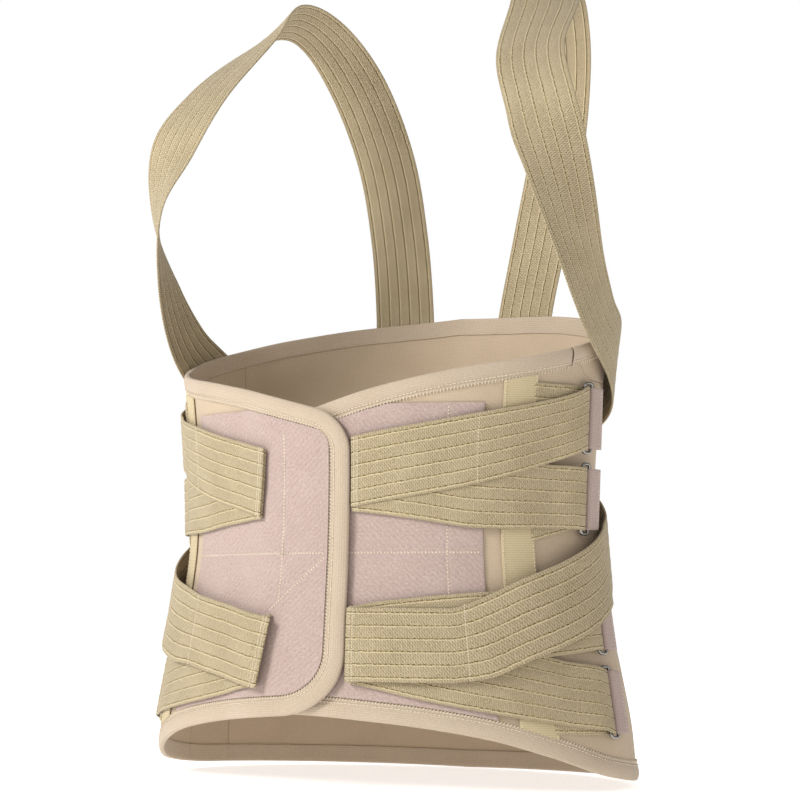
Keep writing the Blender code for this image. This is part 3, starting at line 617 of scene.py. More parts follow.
class Finishes:
    """Every finish of the belt, each made once: by the slot it fills, and the threads' own."""

    def __init__(self) -> None:
        """Make the materials."""
        self.by_slot = {
            # Smooth warp-knit nylon over foam: matt, faintly pink beige.
            Slot.BODY: Knit("warp_knit_nylon", "#d0bda5", "#a9947a", 1.6, 0.10, contrast=0.35,
                            speckle=0.5).material(),
            # Knitted edging folded over and cover-stitched: paler and rounder than the body.
            Slot.BINDING: Knit("knit_edging", "#d2c2ae", "#a5917a", 1.7, 0.15, contrast=0.4,
                               speckle=0.6).material(),
            # Brushed nylon loop: the pinkest cloth, felted, dull and speckled with pale loops.
            Slot.LOOP: LoopPile("brushed_nylon_loop", "#c8b4ab", "#927a71", 1.7, 0.22,
                                contrast=0.9, speckle=0.8, mottle=0.2, roughness=0.95).material(),
            # Herringbone tape: its fine rib hardly shows, and it is the yellowest plain cloth.
            Slot.TAPE: Fabric("ribbed_polyester_tape", "#cfbf9d", "#a8966f", 1.7, 0.07,
                              contrast=0.35, speckle=0.5).material(),
            # Woven elastic: gold beige grains over ribs, with thin woven lines painted as dark groove
            # shade beside a painted highlight.
            Slot.ELASTIC: ElasticWebbing("woven_elastic", "#c9b999", "#6e5d3c", 1.6, 0.28,
                                         contrast=0.55, speckle=0.9, mottle=0.3).material(),
            # Moulded nylon hooks: a shinier, gritty grid that shows only when a tab is peeled off.
            Slot.HOOK: HookTape("moulded_nylon_hook", "#d6c8b0", "#94856c", 1.4, 0.5,
                                roughness=0.5).material(),
            # Soft warp-knit tape: mauve and matt like the loop cloth, but finer.
            Slot.KEEPER: Knit("soft_nylon_tape", "#c6b2a8", "#98837a", 1.5, 0.12,
                              contrast=0.4).material(),
            # Nickel-plated wire: dark reflections with bright streaks along the bend.
            Slot.WIRE: Metal("nickel_plated_wire", "#6f6b66", 0.20, 1.5).material(),
            # Cold-rolled strip: grain along its length.
            Slot.STEEL: Metal("cold_rolled_strip", "#a8a8aa", 0.30, 1.0,
                              (1.0, 1.0, 0.05)).material(),
        }
        # Spun polyester sewing thread, one gold for the webbing and one pale for the edging.
        self.by_thread = {
            Thread.GOLD: Fabric("gold_polyester_thread", "#d2bb84", "#84703c", 0.8, 0.05,
                                roughness=0.6).material(),
            Thread.PALE: Fabric("pale_polyester_thread", "#efe3cf", "#c4b193", 0.8, 0.05,
                                roughness=0.6).material(),
        }


# ---------------------------------------------------------------- cloth and thread
@dataclass(frozen=True)
class Bend:
    """A joint that a piece spans: body a before start and body b after end."""

    a: str
    b: str
    start: np.ndarray
    end: np.ndarray


@dataclass
class Cloth:
    """A piece of cloth: a grid of points, its coordinates along and across, and its thickness."""

    points: np.ndarray
    along_mm: np.ndarray
    across_mm: np.ndarray
    thickness: float
    side: Side = Side.LEFT

    def normals(self) -> np.ndarray:
        """Outward unit normals of the grid."""
        along = np.gradient(self.points, axis=0)
        across = np.gradient(self.points, axis=1)
        return unit(np.cross(along, across)) * self.side.value

    def raised(self, relief: np.ndarray) -> "Cloth":
        """The same cloth with its surface moved outward by relief."""
        points = self.points + self.normals() * relief[..., None]
        return Cloth(points, self.along_mm, self.across_mm, self.thickness, self.side)

    def flat(self) -> tuple:
        """The (width, length) that the piece is cut to, from the grid's own lengths."""
        width = np.linalg.norm(np.diff(self.points, axis=1), axis=-1).sum(1).mean()
        length = np.linalg.norm(np.diff(self.points, axis=0), axis=-1).sum(0).mean()
        return float(width), float(length)

    def line(self, share: float, proud: float, first: int = 0, last: int = None) -> tuple:
        """A line along the cloth.

        Args:
            share: where across it, from 0 to 1.
            proud: distance off the cloth's outer face.
            first: the grid row it starts at.
            last: the grid row it ends before.

        Returns:
            (points, normals) of the line.
        """
        column = share * (self.points.shape[1] - 1)
        j = min(int(column), self.points.shape[1] - 2)
        f = column - j
        up = self.normals()
        normal = unit(up[first:last, j] * (1.0 - f) + up[first:last, j + 1] * f)
        middle = self.points[first:last, j] * (1.0 - f) + self.points[first:last, j + 1] * f
        return middle + normal * (self.thickness / 2.0 + proud), normal

    def cross_line(self, share: float, proud: float) -> tuple:
        """A line across the cloth at a share of its length, as line gives one along it."""
        i = int(round(share * (self.points.shape[0] - 1)))
        normal = self.normals()[i]
        return self.points[i] + normal * (self.thickness / 2.0 + proud), normal

    def mesh(self, name: str) -> bpy.types.Mesh:
        """The grid as a mesh with millimetre cloth coordinates."""
        rows, columns = self.points.shape[:2]
        bm = bmesh.new()
        bmesh.ops.create_grid(bm, x_segments=rows - 1, y_segments=columns - 1, size=0.5)
        mesh = bpy.data.meshes.new(name)
        bm.to_mesh(mesh)
        bm.free()
        flat = np.empty(len(mesh.vertices) * 3, np.float32)
        mesh.vertices.foreach_get("co", flat)
        i = np.rint((flat[0::3] + 0.5) * (rows - 1)).astype(int)
        j = np.rint((flat[1::3] + 0.5) * (columns - 1)).astype(int)
        mesh.vertices.foreach_set("co", self.points[i, j].astype(np.float32).ravel())
        corner = np.empty(len(mesh.loops), np.int32)
        mesh.loops.foreach_get("vertex_index", corner)
        cloth = np.stack(np.broadcast_arrays(self.along_mm, self.across_mm), -1)[i, j][corner]
        mesh.uv_layers.new(name=UV_LAYER).data.foreach_set("uv", cloth.astype(np.float32).ravel())
        mesh.shade_smooth()
        mesh.update()
        return mesh


def laid(arcs: np.ndarray, heights: np.ndarray, lift: np.ndarray, thickness: float,
         side: Side = Side.LEFT) -> Cloth:
    """Cloth laid over the form.

    Args:
        arcs: the grid's arcs.
        heights: the grid's heights.
        lift: its distance off the form.
        thickness: the cloth's thickness.
        side: the wearer's side.

    Returns:
        The cloth, with its coordinates along the arc and up.
    """
    return Cloth(FORM.at(arcs, heights, lift, side), arcs / MM, heights / MM, thickness, side)


@dataclass
class Sewing:
    """Rows of stitches that become one piece: each stitch is a small drawn-out ball."""

    length: float
    radius: float
    thread: Thread = Thread.PALE
    matrices: list = field(default_factory=list)

    def row(self, points: np.ndarray, normals: np.ndarray, pitch: float, slant: float = 0.0) -> None:
        """Add a row of stitches.

        Args:
            points: the line that the row follows.
            normals: the outward direction at each of them.
            pitch: distance from one stitch to the next.
            slant: angle of each stitch to the line.
        """
        along = np.concatenate([[0.0], np.cumsum(np.linalg.norm(np.diff(points, axis=0), axis=1))])
        stops = np.arange(pitch / 2.0, along[-1], pitch)
        at = np.stack([np.interp(stops, along, points[:, k]) for k in range(3)], -1)
        up = unit(np.stack([np.interp(stops, along, normals[:, k]) for k in range(3)], -1))
        tangent = np.gradient(points, along, axis=0)
        way = np.stack([np.interp(stops, along, tangent[:, k]) for k in range(3)], -1)
        way = unit(way - up * (way * up).sum(-1, keepdims=True))
        beside = np.cross(up, way)
        way = way * math.cos(slant) + beside * math.sin(slant)
        beside = np.cross(up, way)
        for centre, x, y, z in zip(at, way, beside, up):
            self.matrices.append(Matrix((
                (x[0] * self.length / 2.0, y[0] * self.radius, z[0] * self.radius, centre[0]),
                (x[1] * self.length / 2.0, y[1] * self.radius, z[1] * self.radius, centre[1]),
                (x[2] * self.length / 2.0, y[2] * self.radius, z[2] * self.radius, centre[2]),
                (0.0, 0.0, 0.0, 1.0))))

    def on_form(self, arc: np.ndarray, height: np.ndarray, lift: np.ndarray, side: Side,
                pitch: float, slant: float = 0.0) -> None:
        """Add a row of stitches through points over the form, as row does."""
        line = FORM.at(arc, height, lift, side)
        self.row(line, unit(FORM.at(arc, height, lift + MM, side) - line), pitch, slant)

    def mesh(self, name: str) -> bpy.types.Mesh:
        """All the stitches as one mesh, sewn in short batches that stay quick."""
        mesh = bpy.data.meshes.new(name)
        whole = bmesh.new()
        for start in range(0, len(self.matrices), STITCH_BATCH):
            batch = bmesh.new()
            for matrix in self.matrices[start:start + STITCH_BATCH]:
                bmesh.ops.create_icosphere(batch, subdivisions=1, radius=1.0, matrix=matrix)
            batch.to_mesh(mesh)
            batch.free()
            whole.from_mesh(mesh)
        whole.to_mesh(mesh)
        whole.free()
        layer = mesh.uv_layers.new(name=UV_LAYER)
        places = np.empty(len(mesh.vertices) * 3, np.float32)
        mesh.vertices.foreach_get("co", places)
        corner = np.empty(len(mesh.loops), np.int32)
        mesh.loops.foreach_get("vertex_index", corner)
        cloth = places.reshape(-1, 3)[:, [2, 0]][corner] / MM
        layer.data.foreach_set("uv", cloth.astype(np.float32).ravel())
        mesh.shade_smooth()
        return mesh


class Bench:
    """Puts finished pieces into the scene, on their bodies."""

    def __init__(self, finishes: Finishes) -> None:
        """Keep the finishes and start the list of pieces."""
        self.finishes = finishes
        self.pieces = []

    def add(self, name: str, mesh: bpy.types.Mesh, slot: Slot, body: str, bend: Bend = None,
            thread: Thread = None) -> bpy.types.Object:
        """Place one piece.

        Args:
            name: the piece's name.
            mesh: its mesh, in place.
            slot: the record's slot, which also gives its finish.
            body: the body it rides on, unless it has a bend.
            bend: the joint it spans; a piece given one is not put on a body.
            thread: the thread it is sewn with, which then gives its finish.

        Returns:
            The new object.
        """
        piece = bpy.data.objects.new(name, mesh)
        bpy.context.scene.collection.objects.link(piece)
        mesh.materials.append(self.finishes.by_thread[thread] if thread
                              else self.finishes.by_slot[slot])
        if bend is None:
            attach(piece, body)
        else:
            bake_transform(piece)
        self.pieces.append(name)
        LOG.info("%s: %d vertices on %s", name, len(mesh.vertices), body)
        return piece

    def cloth(self, name: str, cloth: Cloth, slot: Slot, body: str, nodes: tuple = (),
              bend: Bend = None, rests_on: tuple = (), sewing: tuple = (),
              held: str = "stretched") -> bpy.types.Object:
        """Args:
            name: the piece's name.
            cloth: its grid.
            slot: the record's slot, which also gives its finish.
            body: the body it rides on.
            nodes: the CAD nodes that it stands for.
            bend: the joint it spans; a piece given one is not put on a body.
            rests_on: what it lies on; not used.
            sewing: (name, Sewing) of the thread rows on it.
            held: how the cloth is held; not used.

        Returns:
            The new object.
        """
        piece = self.add(name, cloth.mesh(name), slot, body, bend)
        wall = piece.modifiers.new("thickness", "SOLIDIFY")
        wall.thickness = cloth.thickness
        wall.offset = 0.0
        soften = piece.modifiers.new("soft_edge", "BEVEL")
        soften.width = cloth.thickness * 0.35
        soften.segments = 2
        soften.limit_method = "ANGLE"
        soften.angle_limit = math.radians(60.0)
        if nodes:
            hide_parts(*nodes)
        threads = [self.add(row_name, rows.mesh(row_name), slot, body, bend, rows.thread)
                   for row_name, rows in sewing]
        return piece


# ---------------------------------------------------------------- webbing
@dataclass(frozen=True)
class WebbingWeave:
    """The relief of the elastic webbing: soft channels between its woven lines."""

    lines_mm: tuple = (-23.5, -14.1, -4.7, 4.7, 14.1, 23.5)
    channel_mm: float = 9.4
    crown: float = 0.00045
    edge_mm: float = 1.6
    float_sink: float = 0.00008
    float_pitch: float = 0.0042

    def relief(self, across_mm: np.ndarray, width_mm: float) -> np.ndarray:
        """Height of the webbing's face.

        Args:
            across_mm: place across the webbing, from its middle.
            width_mm: the webbing's width.

        Returns:
            Heights in metres.
        """
        height = self.crown * np.sqrt(np.abs(np.cos(across_mm * math.pi / self.channel_mm)))
        edge = width_mm / 2.0 - np.abs(across_mm)
        return height - self.crown * (1.0 - smooth_step(0.0, self.edge_mm, edge))

    def floats(self, cloth: Cloth, width_mm: float, first: int = 0, last: int = None) -> Sewing:
        """The woven lines' gold floats.

        Args:
            cloth: the webbing.
            width_mm: its nominal width.
            first: the grid row that they start at.
            last: the grid row that they end before.

        Returns:
            The floats, ready to be made a mesh.
        """
        gold = Sewing(length=0.0030, radius=0.00028, thread=Thread.GOLD)
        for line in self.lines_mm:
            share = 0.5 + line / width_mm
            gold.row(*cloth.line(share, -self.float_sink, first, last), pitch=self.float_pitch)
        return gold


WEAVE = WebbingWeave()


@dataclass(frozen=True)
class Tab:
    """The front end of a strap: where it ends and how much its upper corner leads."""

    end: float
    lean: float = 0.0

    def leaning(self, arcs: np.ndarray, share: np.ndarray) -> np.ndarray:
        """Arcs by row turned into arcs by row and by share across, so that the end leans."""
        return arcs - self.lean * share * (1.0 - smooth_step(0.0, TAB_LENGTH, arcs - self.end))


@dataclass(frozen=True)
class HookPatch:
    """The hook patch sewn under a tab."""

    name: str
    body: str
    side: Side
    tab: Tab
    centres: tuple
    lift: float
    length: float
    height: float = 0.047
    inset: float = 0.002

    def build(self, bench: Bench) -> None:
        """Build the patch."""
        start = self.tab.end + self.inset
        arcs = self.tab.leaning(stations(start, start + self.length, 0.003)[:, None], PATCH_ACROSS)
        height = smooth_curve(self.centres, arcs) + PATCH_ACROSS * self.height
        cloth = laid(arcs, height, self.lift + LAYER.base(self.side, arcs), TAPE_THICKNESS, self.side)
        bench.cloth(f"{self.name}_tape", cloth, Slot.HOOK, self.body,
                    nodes=(self.name,))


class RingLine:
    """The straight line of two rings' rear bars, and the directions of the straps on them."""

    def __init__(self, low: tuple, high: tuple, pitch: float, side: Side) -> None:
        """Work out the line.

        Args:
            low: arc, height and lift of its lower end.
            high: arc, height and lift of its upper end.
            pitch: distance between a ring's bars.
            side: the wearer's side.
        """
        self.low = FORM.at(*low, side)
        self.high = FORM.at(*high, side)
        self.arcs = (low[0], high[0])
        self.axis = unit(self.high - self.low)
        middle = (low[0] + high[0]) / 2.0
        height = (low[1] + high[1]) / 2.0
        ahead = FORM.at(middle - pitch, height, low[2], side) - FORM.at(middle, height, low[2], side)
        self.forward = unit(ahead - self.axis * ahead.dot(self.axis))
        self.outward = np.cross(self.axis, self.forward)
        if self.outward[0] * side.value < 0.0:
            self.outward = -self.outward

    def at(self, height: np.ndarray, ahead: np.ndarray, out: np.ndarray) -> np.ndarray:
        """Points at a height, a distance ahead of the rear bars and a distance outward."""
        height, ahead, out = np.broadcast_arrays(height, ahead, out)
        share = ((height - self.low[2]) / (self.high[2] - self.low[2]))[..., None]
        return (self.low + (self.high - self.low) * share + self.forward * ahead[..., None]
                + self.outward * out[..., None])

    def arc_at(self, height: float) -> float:
        """Arc of the rear bars at a height."""
        share = (height - self.low[2]) / (self.high[2] - self.low[2])
        return float(self.arcs[0] + (self.arcs[1] - self.arcs[0]) * share)


@dataclass(frozen=True)
class StrapRun:
    """One tension strap: its ring's height and its centre height by arc."""

    name: str
    ring_height: float
    tape_height: float
    over: bool
    centres: tuple


@dataclass
class StrapPair:
    """Two tension straps that share a front tab, with their rings, keeper and sewn runs."""

    side: Side
    level: str
    runs: tuple
    line_low: tuple
    line_high: tuple
    tab: Tab
    tab_height: float = 0.053
    ring_width: float = 0.047
    thickness: float = 0.0014
    wire: float = 0.0013
    ring_length: float = 0.0552
    ring_pitch: float = 0.0085
    fold_radius: float = 0.0026
    fold_tail: float = 0.015
    ring_blend: tuple = (0.012, 0.036)
    anchor_start: float = 0.1675
    keeper_length: float = 0.015
    keeper_radius: float = 0.0023
    keeper_thickness: float = 0.0008
    patch_length: float = 0.078
    spacing: float = 0.0025
    narrowing: tuple = (0.110, 0.195)
    over_rise: tuple = (0.178, 0.200)
    under_rise: tuple = (0.186, 0.200)
    fold_rows: int = 13
    ring_corner: float = 0.0024

    def __post_init__(self) -> None:
        """Place the line of the rings' rear bars."""
        self.line = RingLine(self.line_low, self.line_high, self.ring_pitch, self.side)
        self.front_body = f"{self.side.word}_front"
        self.body = f"{self.side.word}_{self.level}_straps"

    def strap(self, run: StrapRun) -> Cloth:
        """The outer run of one strap, from its front tab round its ring."""
        far = LAYER.upper_strap if run.over else LAYER.lower_strap
        ring_arc = self.line.arc_at(run.ring_height)
        arcs = stations(self.tab.end, ring_arc - self.ring_blend[0], self.spacing)[:, None]
        arcs = self.tab.leaning(arcs, ACROSS)
        narrowed = smooth_step(*self.narrowing, arcs)
        width = self.tab_height + (self.ring_width - self.tab_height) * narrowed
        height = smooth_curve(run.centres, arcs) + ACROSS * width
        rise = smooth_step(*(self.over_rise if run.over else self.under_rise), arcs)
        lift = far + (LAYER.ring_leg - far) * rise
        free = FORM.at(arcs, height, lift + LAYER.base(self.side, arcs), self.side)
        held = self.line.at(height, ring_arc - arcs, self.fold_radius)
        near = (1.0 - smooth_step(*self.ring_blend, ring_arc - arcs))[..., None]
        outer = free * (1.0 - near) + held * near
        turn = np.linspace(0.0, math.pi, self.fold_rows)[:, None]
        level = run.ring_height + ACROSS * self.ring_width
        fold = self.line.at(level, self.ring_pitch - self.fold_radius * np.sin(turn),
                            self.fold_radius * np.cos(turn))
        tail = self.line.at(level, self.fold_tail, -self.fold_radius)
        points = np.concatenate([outer, fold, tail])
        middle = points[:, points.shape[1] // 2]
        along = np.concatenate([[0.0], np.cumsum(np.linalg.norm(np.diff(middle, axis=0), axis=1))])
        nominal = ACROSS * self.tab_height / MM
        cloth = Cloth(points, along[:, None] / MM, nominal, self.thickness, self.side)
        return cloth.raised(WEAVE.relief(nominal, self.tab_height / MM))

    def build_strap(self, run: StrapRun, bench: Bench) -> None:
        """Build one strap, its woven lines and its sewn ends."""
        cloth = self.strap(run)
        gold = WEAVE.floats(cloth, self.tab_height / MM, 1, len(cloth.points) - 1 - self.fold_rows)
        pale = Sewing(length=0.0026, radius=0.00028)
        for share, slant in ((0.012, 0.8), (0.022, -0.8)):
            pale.row(*cloth.cross_line(share, 0.0), pitch=0.0017, slant=slant)
        if run.over:
            pale.row(*cloth.cross_line(0.45, 0.0), pitch=0.0026, slant=0.5)
        name = f"{self.side.word}_{run.name}"
        bench.cloth(f"{name}_webbing", cloth, Slot.ELASTIC, self.body,
                    nodes=(name,), rests_on=(f"{self.side.word}_front_panel",),
                    sewing=((f"{name}_woven_lines", gold),
                            (f"{name}_end_stitching", pale)))

    def build_anchor(self, run: StrapRun, bench: Bench) -> None:
        """Build the strap's inner run, from under the anchor tape back to the ring."""
        ring_arc = self.line.arc_at(run.ring_height)
        end = ring_arc - self.fold_tail + CLEARANCE
        arcs = stations(self.anchor_start - 0.004, end, self.spacing)[:, None]
        f = (arcs - self.anchor_start) / (end - self.anchor_start)
        centre = run.tape_height + (run.ring_height - run.tape_height) * f
        height = centre + ACROSS * self.ring_width
        free = FORM.at(arcs, height, LAYER.under_run, self.side)
        held = self.line.at(height, ring_arc - arcs, -self.fold_radius)
        near = (1.0 - smooth_step(*self.ring_blend, ring_arc - arcs))[..., None]
        nominal = ACROSS * self.tab_height / MM
        cloth = Cloth(free * (1.0 - near) + held * near, arcs / MM, nominal, self.thickness,
                      self.side)
        cloth = cloth.raised(WEAVE.relief(nominal, self.tab_height / MM))
        gold = WEAVE.floats(cloth, self.tab_height / MM)
        middle = cloth.points[:, cloth.points.shape[1] // 2]
        name = f"{self.side.word}_{run.name}_anchor_run"
        bench.cloth(f"{name}_webbing", cloth, Slot.ELASTIC, self.front_body,
                    nodes=(name,), bend=Bend(self.front_body, self.body, middle[2], middle[-1]),
                    rests_on=(f"{self.side.word}_front_panel",),
                    sewing=((f"{name}_woven_lines", gold),))

    def build_ring(self, run: StrapRun, bench: Bench) -> None:
        """Build a ring of bent wire with rounded corners."""
        reach = self.ring_length / 2.0 - self.wire
        radius = self.ring_corner
        path = []
        for up, ahead, start in ((reach, self.ring_pitch, 0.0), (-reach, self.ring_pitch, 90.0),
                                 (-reach, 0.0, 180.0), (reach, 0.0, 270.0)):
            centre_up = up - math.copysign(radius, up)
            centre_ahead = ahead - math.copysign(radius, ahead - self.ring_pitch / 2.0)
            for angle in np.radians(start + np.linspace(0.0, 90.0, 7)):
                path.append((centre_up + radius * math.cos(angle),
                             centre_ahead + radius * math.sin(angle)))
        path = np.array(path)
        around = np.linspace(0.0, 2.0 * math.pi, 15)[None, :]
        step = np.roll(path, -1, axis=0) - np.roll(path, 1, axis=0)
        step = step / np.linalg.norm(step, axis=1, keepdims=True)
        side_way = np.stack([step[:, 1], -step[:, 0]], -1)
        flat = path[:, None, :] + side_way[:, None, :] * (self.wire * np.cos(around))[..., None]
        middle = self.line.at(run.ring_height, 0.0, 0.0)
        points = (middle + self.line.axis * flat[..., :1] + self.line.forward * flat[..., 1:]
                  + self.line.outward * (self.wire * np.sin(around))[..., None])
        points = np.concatenate([points, points[:1]])
        tube = Cloth(points, np.arange(len(points))[:, None] * 1.0, around, 0.0, self.side)
        name = f"{self.side.word}_{run.name}_ring"
        mesh = tube.mesh(f"{name}_wire")
        bm = bmesh.new()
        bm.from_mesh(mesh)
        bmesh.ops.remove_doubles(bm, verts=bm.verts, dist=1e-6)
        bmesh.ops.recalc_face_normals(bm, faces=bm.faces)
        bm.to_mesh(mesh)
        bm.free()
        mesh.shade_smooth()
        piece = bench.add(f"{name}_wire", mesh, Slot.WIRE, self.body)
        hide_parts(name)

    def build_keeper(self, bench: Bench) -> None:
        """Build the tape folded round both rear bars and sewn down behind them."""
        turn = np.linspace(-math.pi / 2.0, math.pi / 2.0, 9)
        ahead = np.concatenate([stations(-self.keeper_length, 0.0, 0.003)[:-1],
                                self.keeper_radius * np.cos(turn),
                                -stations(0.0, self.keeper_length, 0.003)[1:]])
        flat_rows = len(stations(-self.keeper_length, 0.0, 0.003)) - 1
        out = np.concatenate([np.full(flat_rows, -self.keeper_radius),
                              self.keeper_radius * np.sin(turn),
                              np.linspace(self.keeper_radius, -self.keeper_radius
                                          + 1.8 * self.keeper_thickness, flat_rows + 1)[1:]])
        reach = self.ring_length / 2.0 - 2.0 * self.wire - 0.002
        for number, run in enumerate(self.runs):
            heights = stations(run.ring_height - reach, run.ring_height + reach, 0.002)[None, :]
            points = self.line.at(heights, ahead[:, None], out[:, None])
            along = np.arange(len(points))[:, None] * 1.2
            cloth = Cloth(points, along, heights / MM, self.keeper_thickness, self.side)
            pale = Sewing(length=0.0024, radius=0.00028)
            pale.row(*cloth.cross_line(0.93, 0.0), pitch=0.0028)
            part = f"{self.side.word}_{self.level}_keeper"
            bench.cloth(f"{part}_{run.name}_tape", cloth, Slot.KEEPER,
                        self.front_body, nodes=(part,) if number == 0 else (), held="folded",
                        sewing=((f"{part}_{run.name}_stitching", pale),))

    def build(self, bench: Bench) -> None:
        """Build the pair."""
        for run in self.runs:
            self.build_anchor(run, bench)
            self.build_ring(run, bench)
            self.build_strap(run, bench)
        self.build_keeper(bench)
        HookPatch(f"{self.side.word}_{self.level}_hook_patch", self.body, self.side, self.tab,
                  self.runs[-1].centres, LAYER.hook_patch, self.patch_length).build(bench)


@dataclass
class ShoulderStrap:
    """A shoulder strap: from the back over the shoulder, under the arm and across the back."""

    side: Side
    width: float = 0.054
    thickness: float = 0.0014
    spacing: float = 0.0030
    free_run: tuple = (
        ((0.056, 0.1215, 0.108), (-1.0, 0.12, 0.0)),
        ((0.059, 0.1285, 0.150), (-1.0, 0.12, 0.0)),
        ((0.070, 0.138, 0.220), (-1.0, 0.10, 0.1)),
        ((0.084, 0.139, 0.290), (-0.97, 0.10, 0.15)),
        ((0.099, 0.118, 0.352), (-0.93, 0.0, 0.25)),
        ((0.112, 0.080, 0.392), (-0.86, -0.30, 0.30)),
        ((0.124, 0.043, 0.400), (-0.77, -0.54, 0.33)),
        ((0.136, 0.006, 0.369), (-0.94, -0.31, 0.10)),
        ((0.149, -0.044, 0.321), (-0.94, -0.30, -0.18)),
        ((0.168, -0.066, 0.274), (-0.93, -0.23, -0.27)),
        ((0.183, -0.066, 0.219), (-0.68, -0.73, 0.00)),
        ((0.188, -0.041, 0.162), (-0.27, -0.96, -0.10)),
        ((0.190, -0.012, 0.120), (-0.05, -0.82, -0.57)),
        ((0.188, 0.020, 0.096), (0.02, -0.50, -0.86)),
    )
    wrap_run: tuple = ((-0.177, 0.077, 0.0100), (-0.139, 0.063, 0.0100), (-0.099, 0.049, 0.0100),
                       (-0.049, 0.032, 0.0100), (0.000, 0.014, 0.0100), (0.051, -0.004, 0.0100),
                       (0.101, -0.022, 0.0100), (0.146, -0.039, 0.0100), (0.181, -0.054, 0.0104))
    wrap_end: tuple = (-0.0690, 0.0115)
    waist_rear: float = 0.2290
    crossing_lift: float = 0.0045
    crossing_span: tuple = (-0.140, -0.098, 0.098, 0.140)

    def route(self) -> tuple:
        """The strap's centres and its directions towards the inner edge."""
        mirror = np.array([self.side.value, 1.0, 1.0])
        centres = [np.array(centre) * mirror for centre, _ in self.free_run]
        inward = [unit(np.array(inner) * mirror) for _, inner in self.free_run]
        end = FORM.back_centre - self.waist_rear - CLEARANCE
        run = self.wrap_run + ((end, *self.wrap_end),)
        heights = tuple((past, height) for past, height, _ in run)
        rise, top, fall, low = self.crossing_span
        step = 0.01
        for past, height, lift in run:
            arc = FORM.back_centre + past
            if self.side is Side.RIGHT:
                lift += self.crossing_lift * float(smooth_step(rise, top, past)
                                                   - smooth_step(fall, low, past))
            here = FORM.at(arc, height, lift, self.side)
            up = (FORM.at(arc, height + step, lift, self.side)
                  - FORM.at(arc, height - step, lift, self.side))
            if past == end:
                across = -up
            else:
                round_back = FORM.at(arc + step, height, lift, self.side) - here
                run_to = float(smooth_curve(heights, past + step))
                ahead = FORM.at(arc + step, run_to, lift, self.side) - here
                across = np.cross(ahead, np.cross(round_back, up))
            centres.append(here)
            inward.append(unit(across))
        return np.array(centres), np.array(inward)

    def cloth(self, first: float, last: float, offset: float) -> Cloth:
        """The webbing between two of the route's points, offset metres along the strap."""
        centres, inward = self.route()
        fine = np.linspace(first, last, 400)
        line = catmull(centres, fine)
        along = np.concatenate([[0.0], np.cumsum(np.linalg.norm(np.diff(line, axis=0), axis=1))])
        stops = np.interp(stations(0.0, along[-1], self.spacing), along, fine)
        ways = unit(catmull(inward, stops))
        points = (catmull(centres, stops)[:, None, :]
                  - ways[:, None, :] * ACROSS[..., None] * self.width)
        far = np.interp(stops, fine, along)[:, None]
        nominal = ACROSS * self.width / MM
        cloth = Cloth(points, (far + offset) / MM, nominal, self.thickness, self.side)
        return cloth.raised(WEAVE.relief(nominal, self.width / MM))

    def build(self, bench: Bench) -> None:
        """Build the strap's long run and the short end that bends with the far front panel."""
        turn = len(self.free_run) + len(self.wrap_run) - 1
        long_run = self.cloth(0.0, float(turn), 0.0)
        gold = WEAVE.floats(long_run, self.width / MM)
        pale = Sewing(length=0.0026, radius=0.0003)
        for share in (0.004, 0.030):
            pale.row(*long_run.cross_line(share, 0.0), pitch=0.0028)
        name = f"{self.side.word}_shoulder_strap"
        bench.cloth(f"{name}_webbing", long_run, Slot.ELASTIC, "back",
                    nodes=(name,), rests_on=("back_panel",),
                    sewing=((f"{name}_woven_lines", gold),
                            (f"{name}_root_stitching", pale)))
        end = self.cloth(float(turn), float(turn + 1), long_run.along_mm[-1, 0] * MM)
        gold = WEAVE.floats(end, self.width / MM)
        middle = end.points[:, end.points.shape[1] // 2]
        far_front = f"{self.side.other.word}_front"
        bench.cloth(f"{name}_end_webbing", end, Slot.ELASTIC, "back",
                    bend=Bend("back", far_front, middle[0], middle[-1]),
                    sewing=((f"{name}_end_woven_lines", gold),))


@dataclass
class WaistStrap:
    """The front end of a shoulder strap, over the lower pair to its own tab."""

    side: Side
    tab: Tab
    centres: tuple
    rear: float = 0.2290
    width: float = 0.054
    thickness: float = 0.0014
    heights: tuple = ((0.015, 0.054), (0.104, 0.054), (0.130, 0.059), (0.229, 0.0590))
    lifts: tuple = ((0.015, 0.0111), (0.105, 0.0111), (0.160, 0.0137), (0.200, 0.0137),
                    (0.212, 0.0132), (0.222, 0.0124), (0.229, 0.0115))
    patch_length: float = 0.070
    bend_rows: int = 10

    def build(self, bench: Bench) -> None:
        """Build the strap and its hook patch."""
        arcs = self.tab.leaning(stations(self.tab.end, self.rear, 0.0025)[:, None], ACROSS)
        height = smooth_curve(self.centres, arcs) + ACROSS * smooth_curve(self.heights, arcs)
        lift = smooth_curve(self.lifts, arcs) + LAYER.base(self.side, arcs)
        nominal = ACROSS * self.width / MM
        cloth = Cloth(FORM.at(arcs, height, lift, self.side), arcs / MM, nominal, self.thickness,
                      self.side)
        cloth = cloth.raised(WEAVE.relief(nominal, self.width / MM))
        gold = WEAVE.floats(cloth, self.width / MM, 1)
        pale = Sewing(length=0.0026, radius=0.00028)
        for place, slant in ((0.012, 0.8), (0.022, -0.8), (0.40, 0.5)):
            pale.row(*cloth.cross_line(place, 0.0), pitch=0.0019, slant=slant)
        name = f"{self.side.word}_waist_strap"
        front = f"{self.side.word}_front"
        middle = cloth.points[:, cloth.points.shape[1] // 2]
        bend = Bend(name, front, middle[-1 - self.bend_rows], middle[-1])
        bench.cloth(f"{name}_webbing", cloth, Slot.ELASTIC, name, nodes=(name,),
                    bend=bend, rests_on=(f"{self.side.word}_strap_3",),
                    sewing=((f"{name}_woven_lines", gold),
                            (f"{name}_end_stitching", pale)))
        HookPatch(f"{self.side.word}_waist_hook_patch", name, self.side, self.tab, self.centres,
                  LAYER.waist_patch, self.patch_length).build(bench)


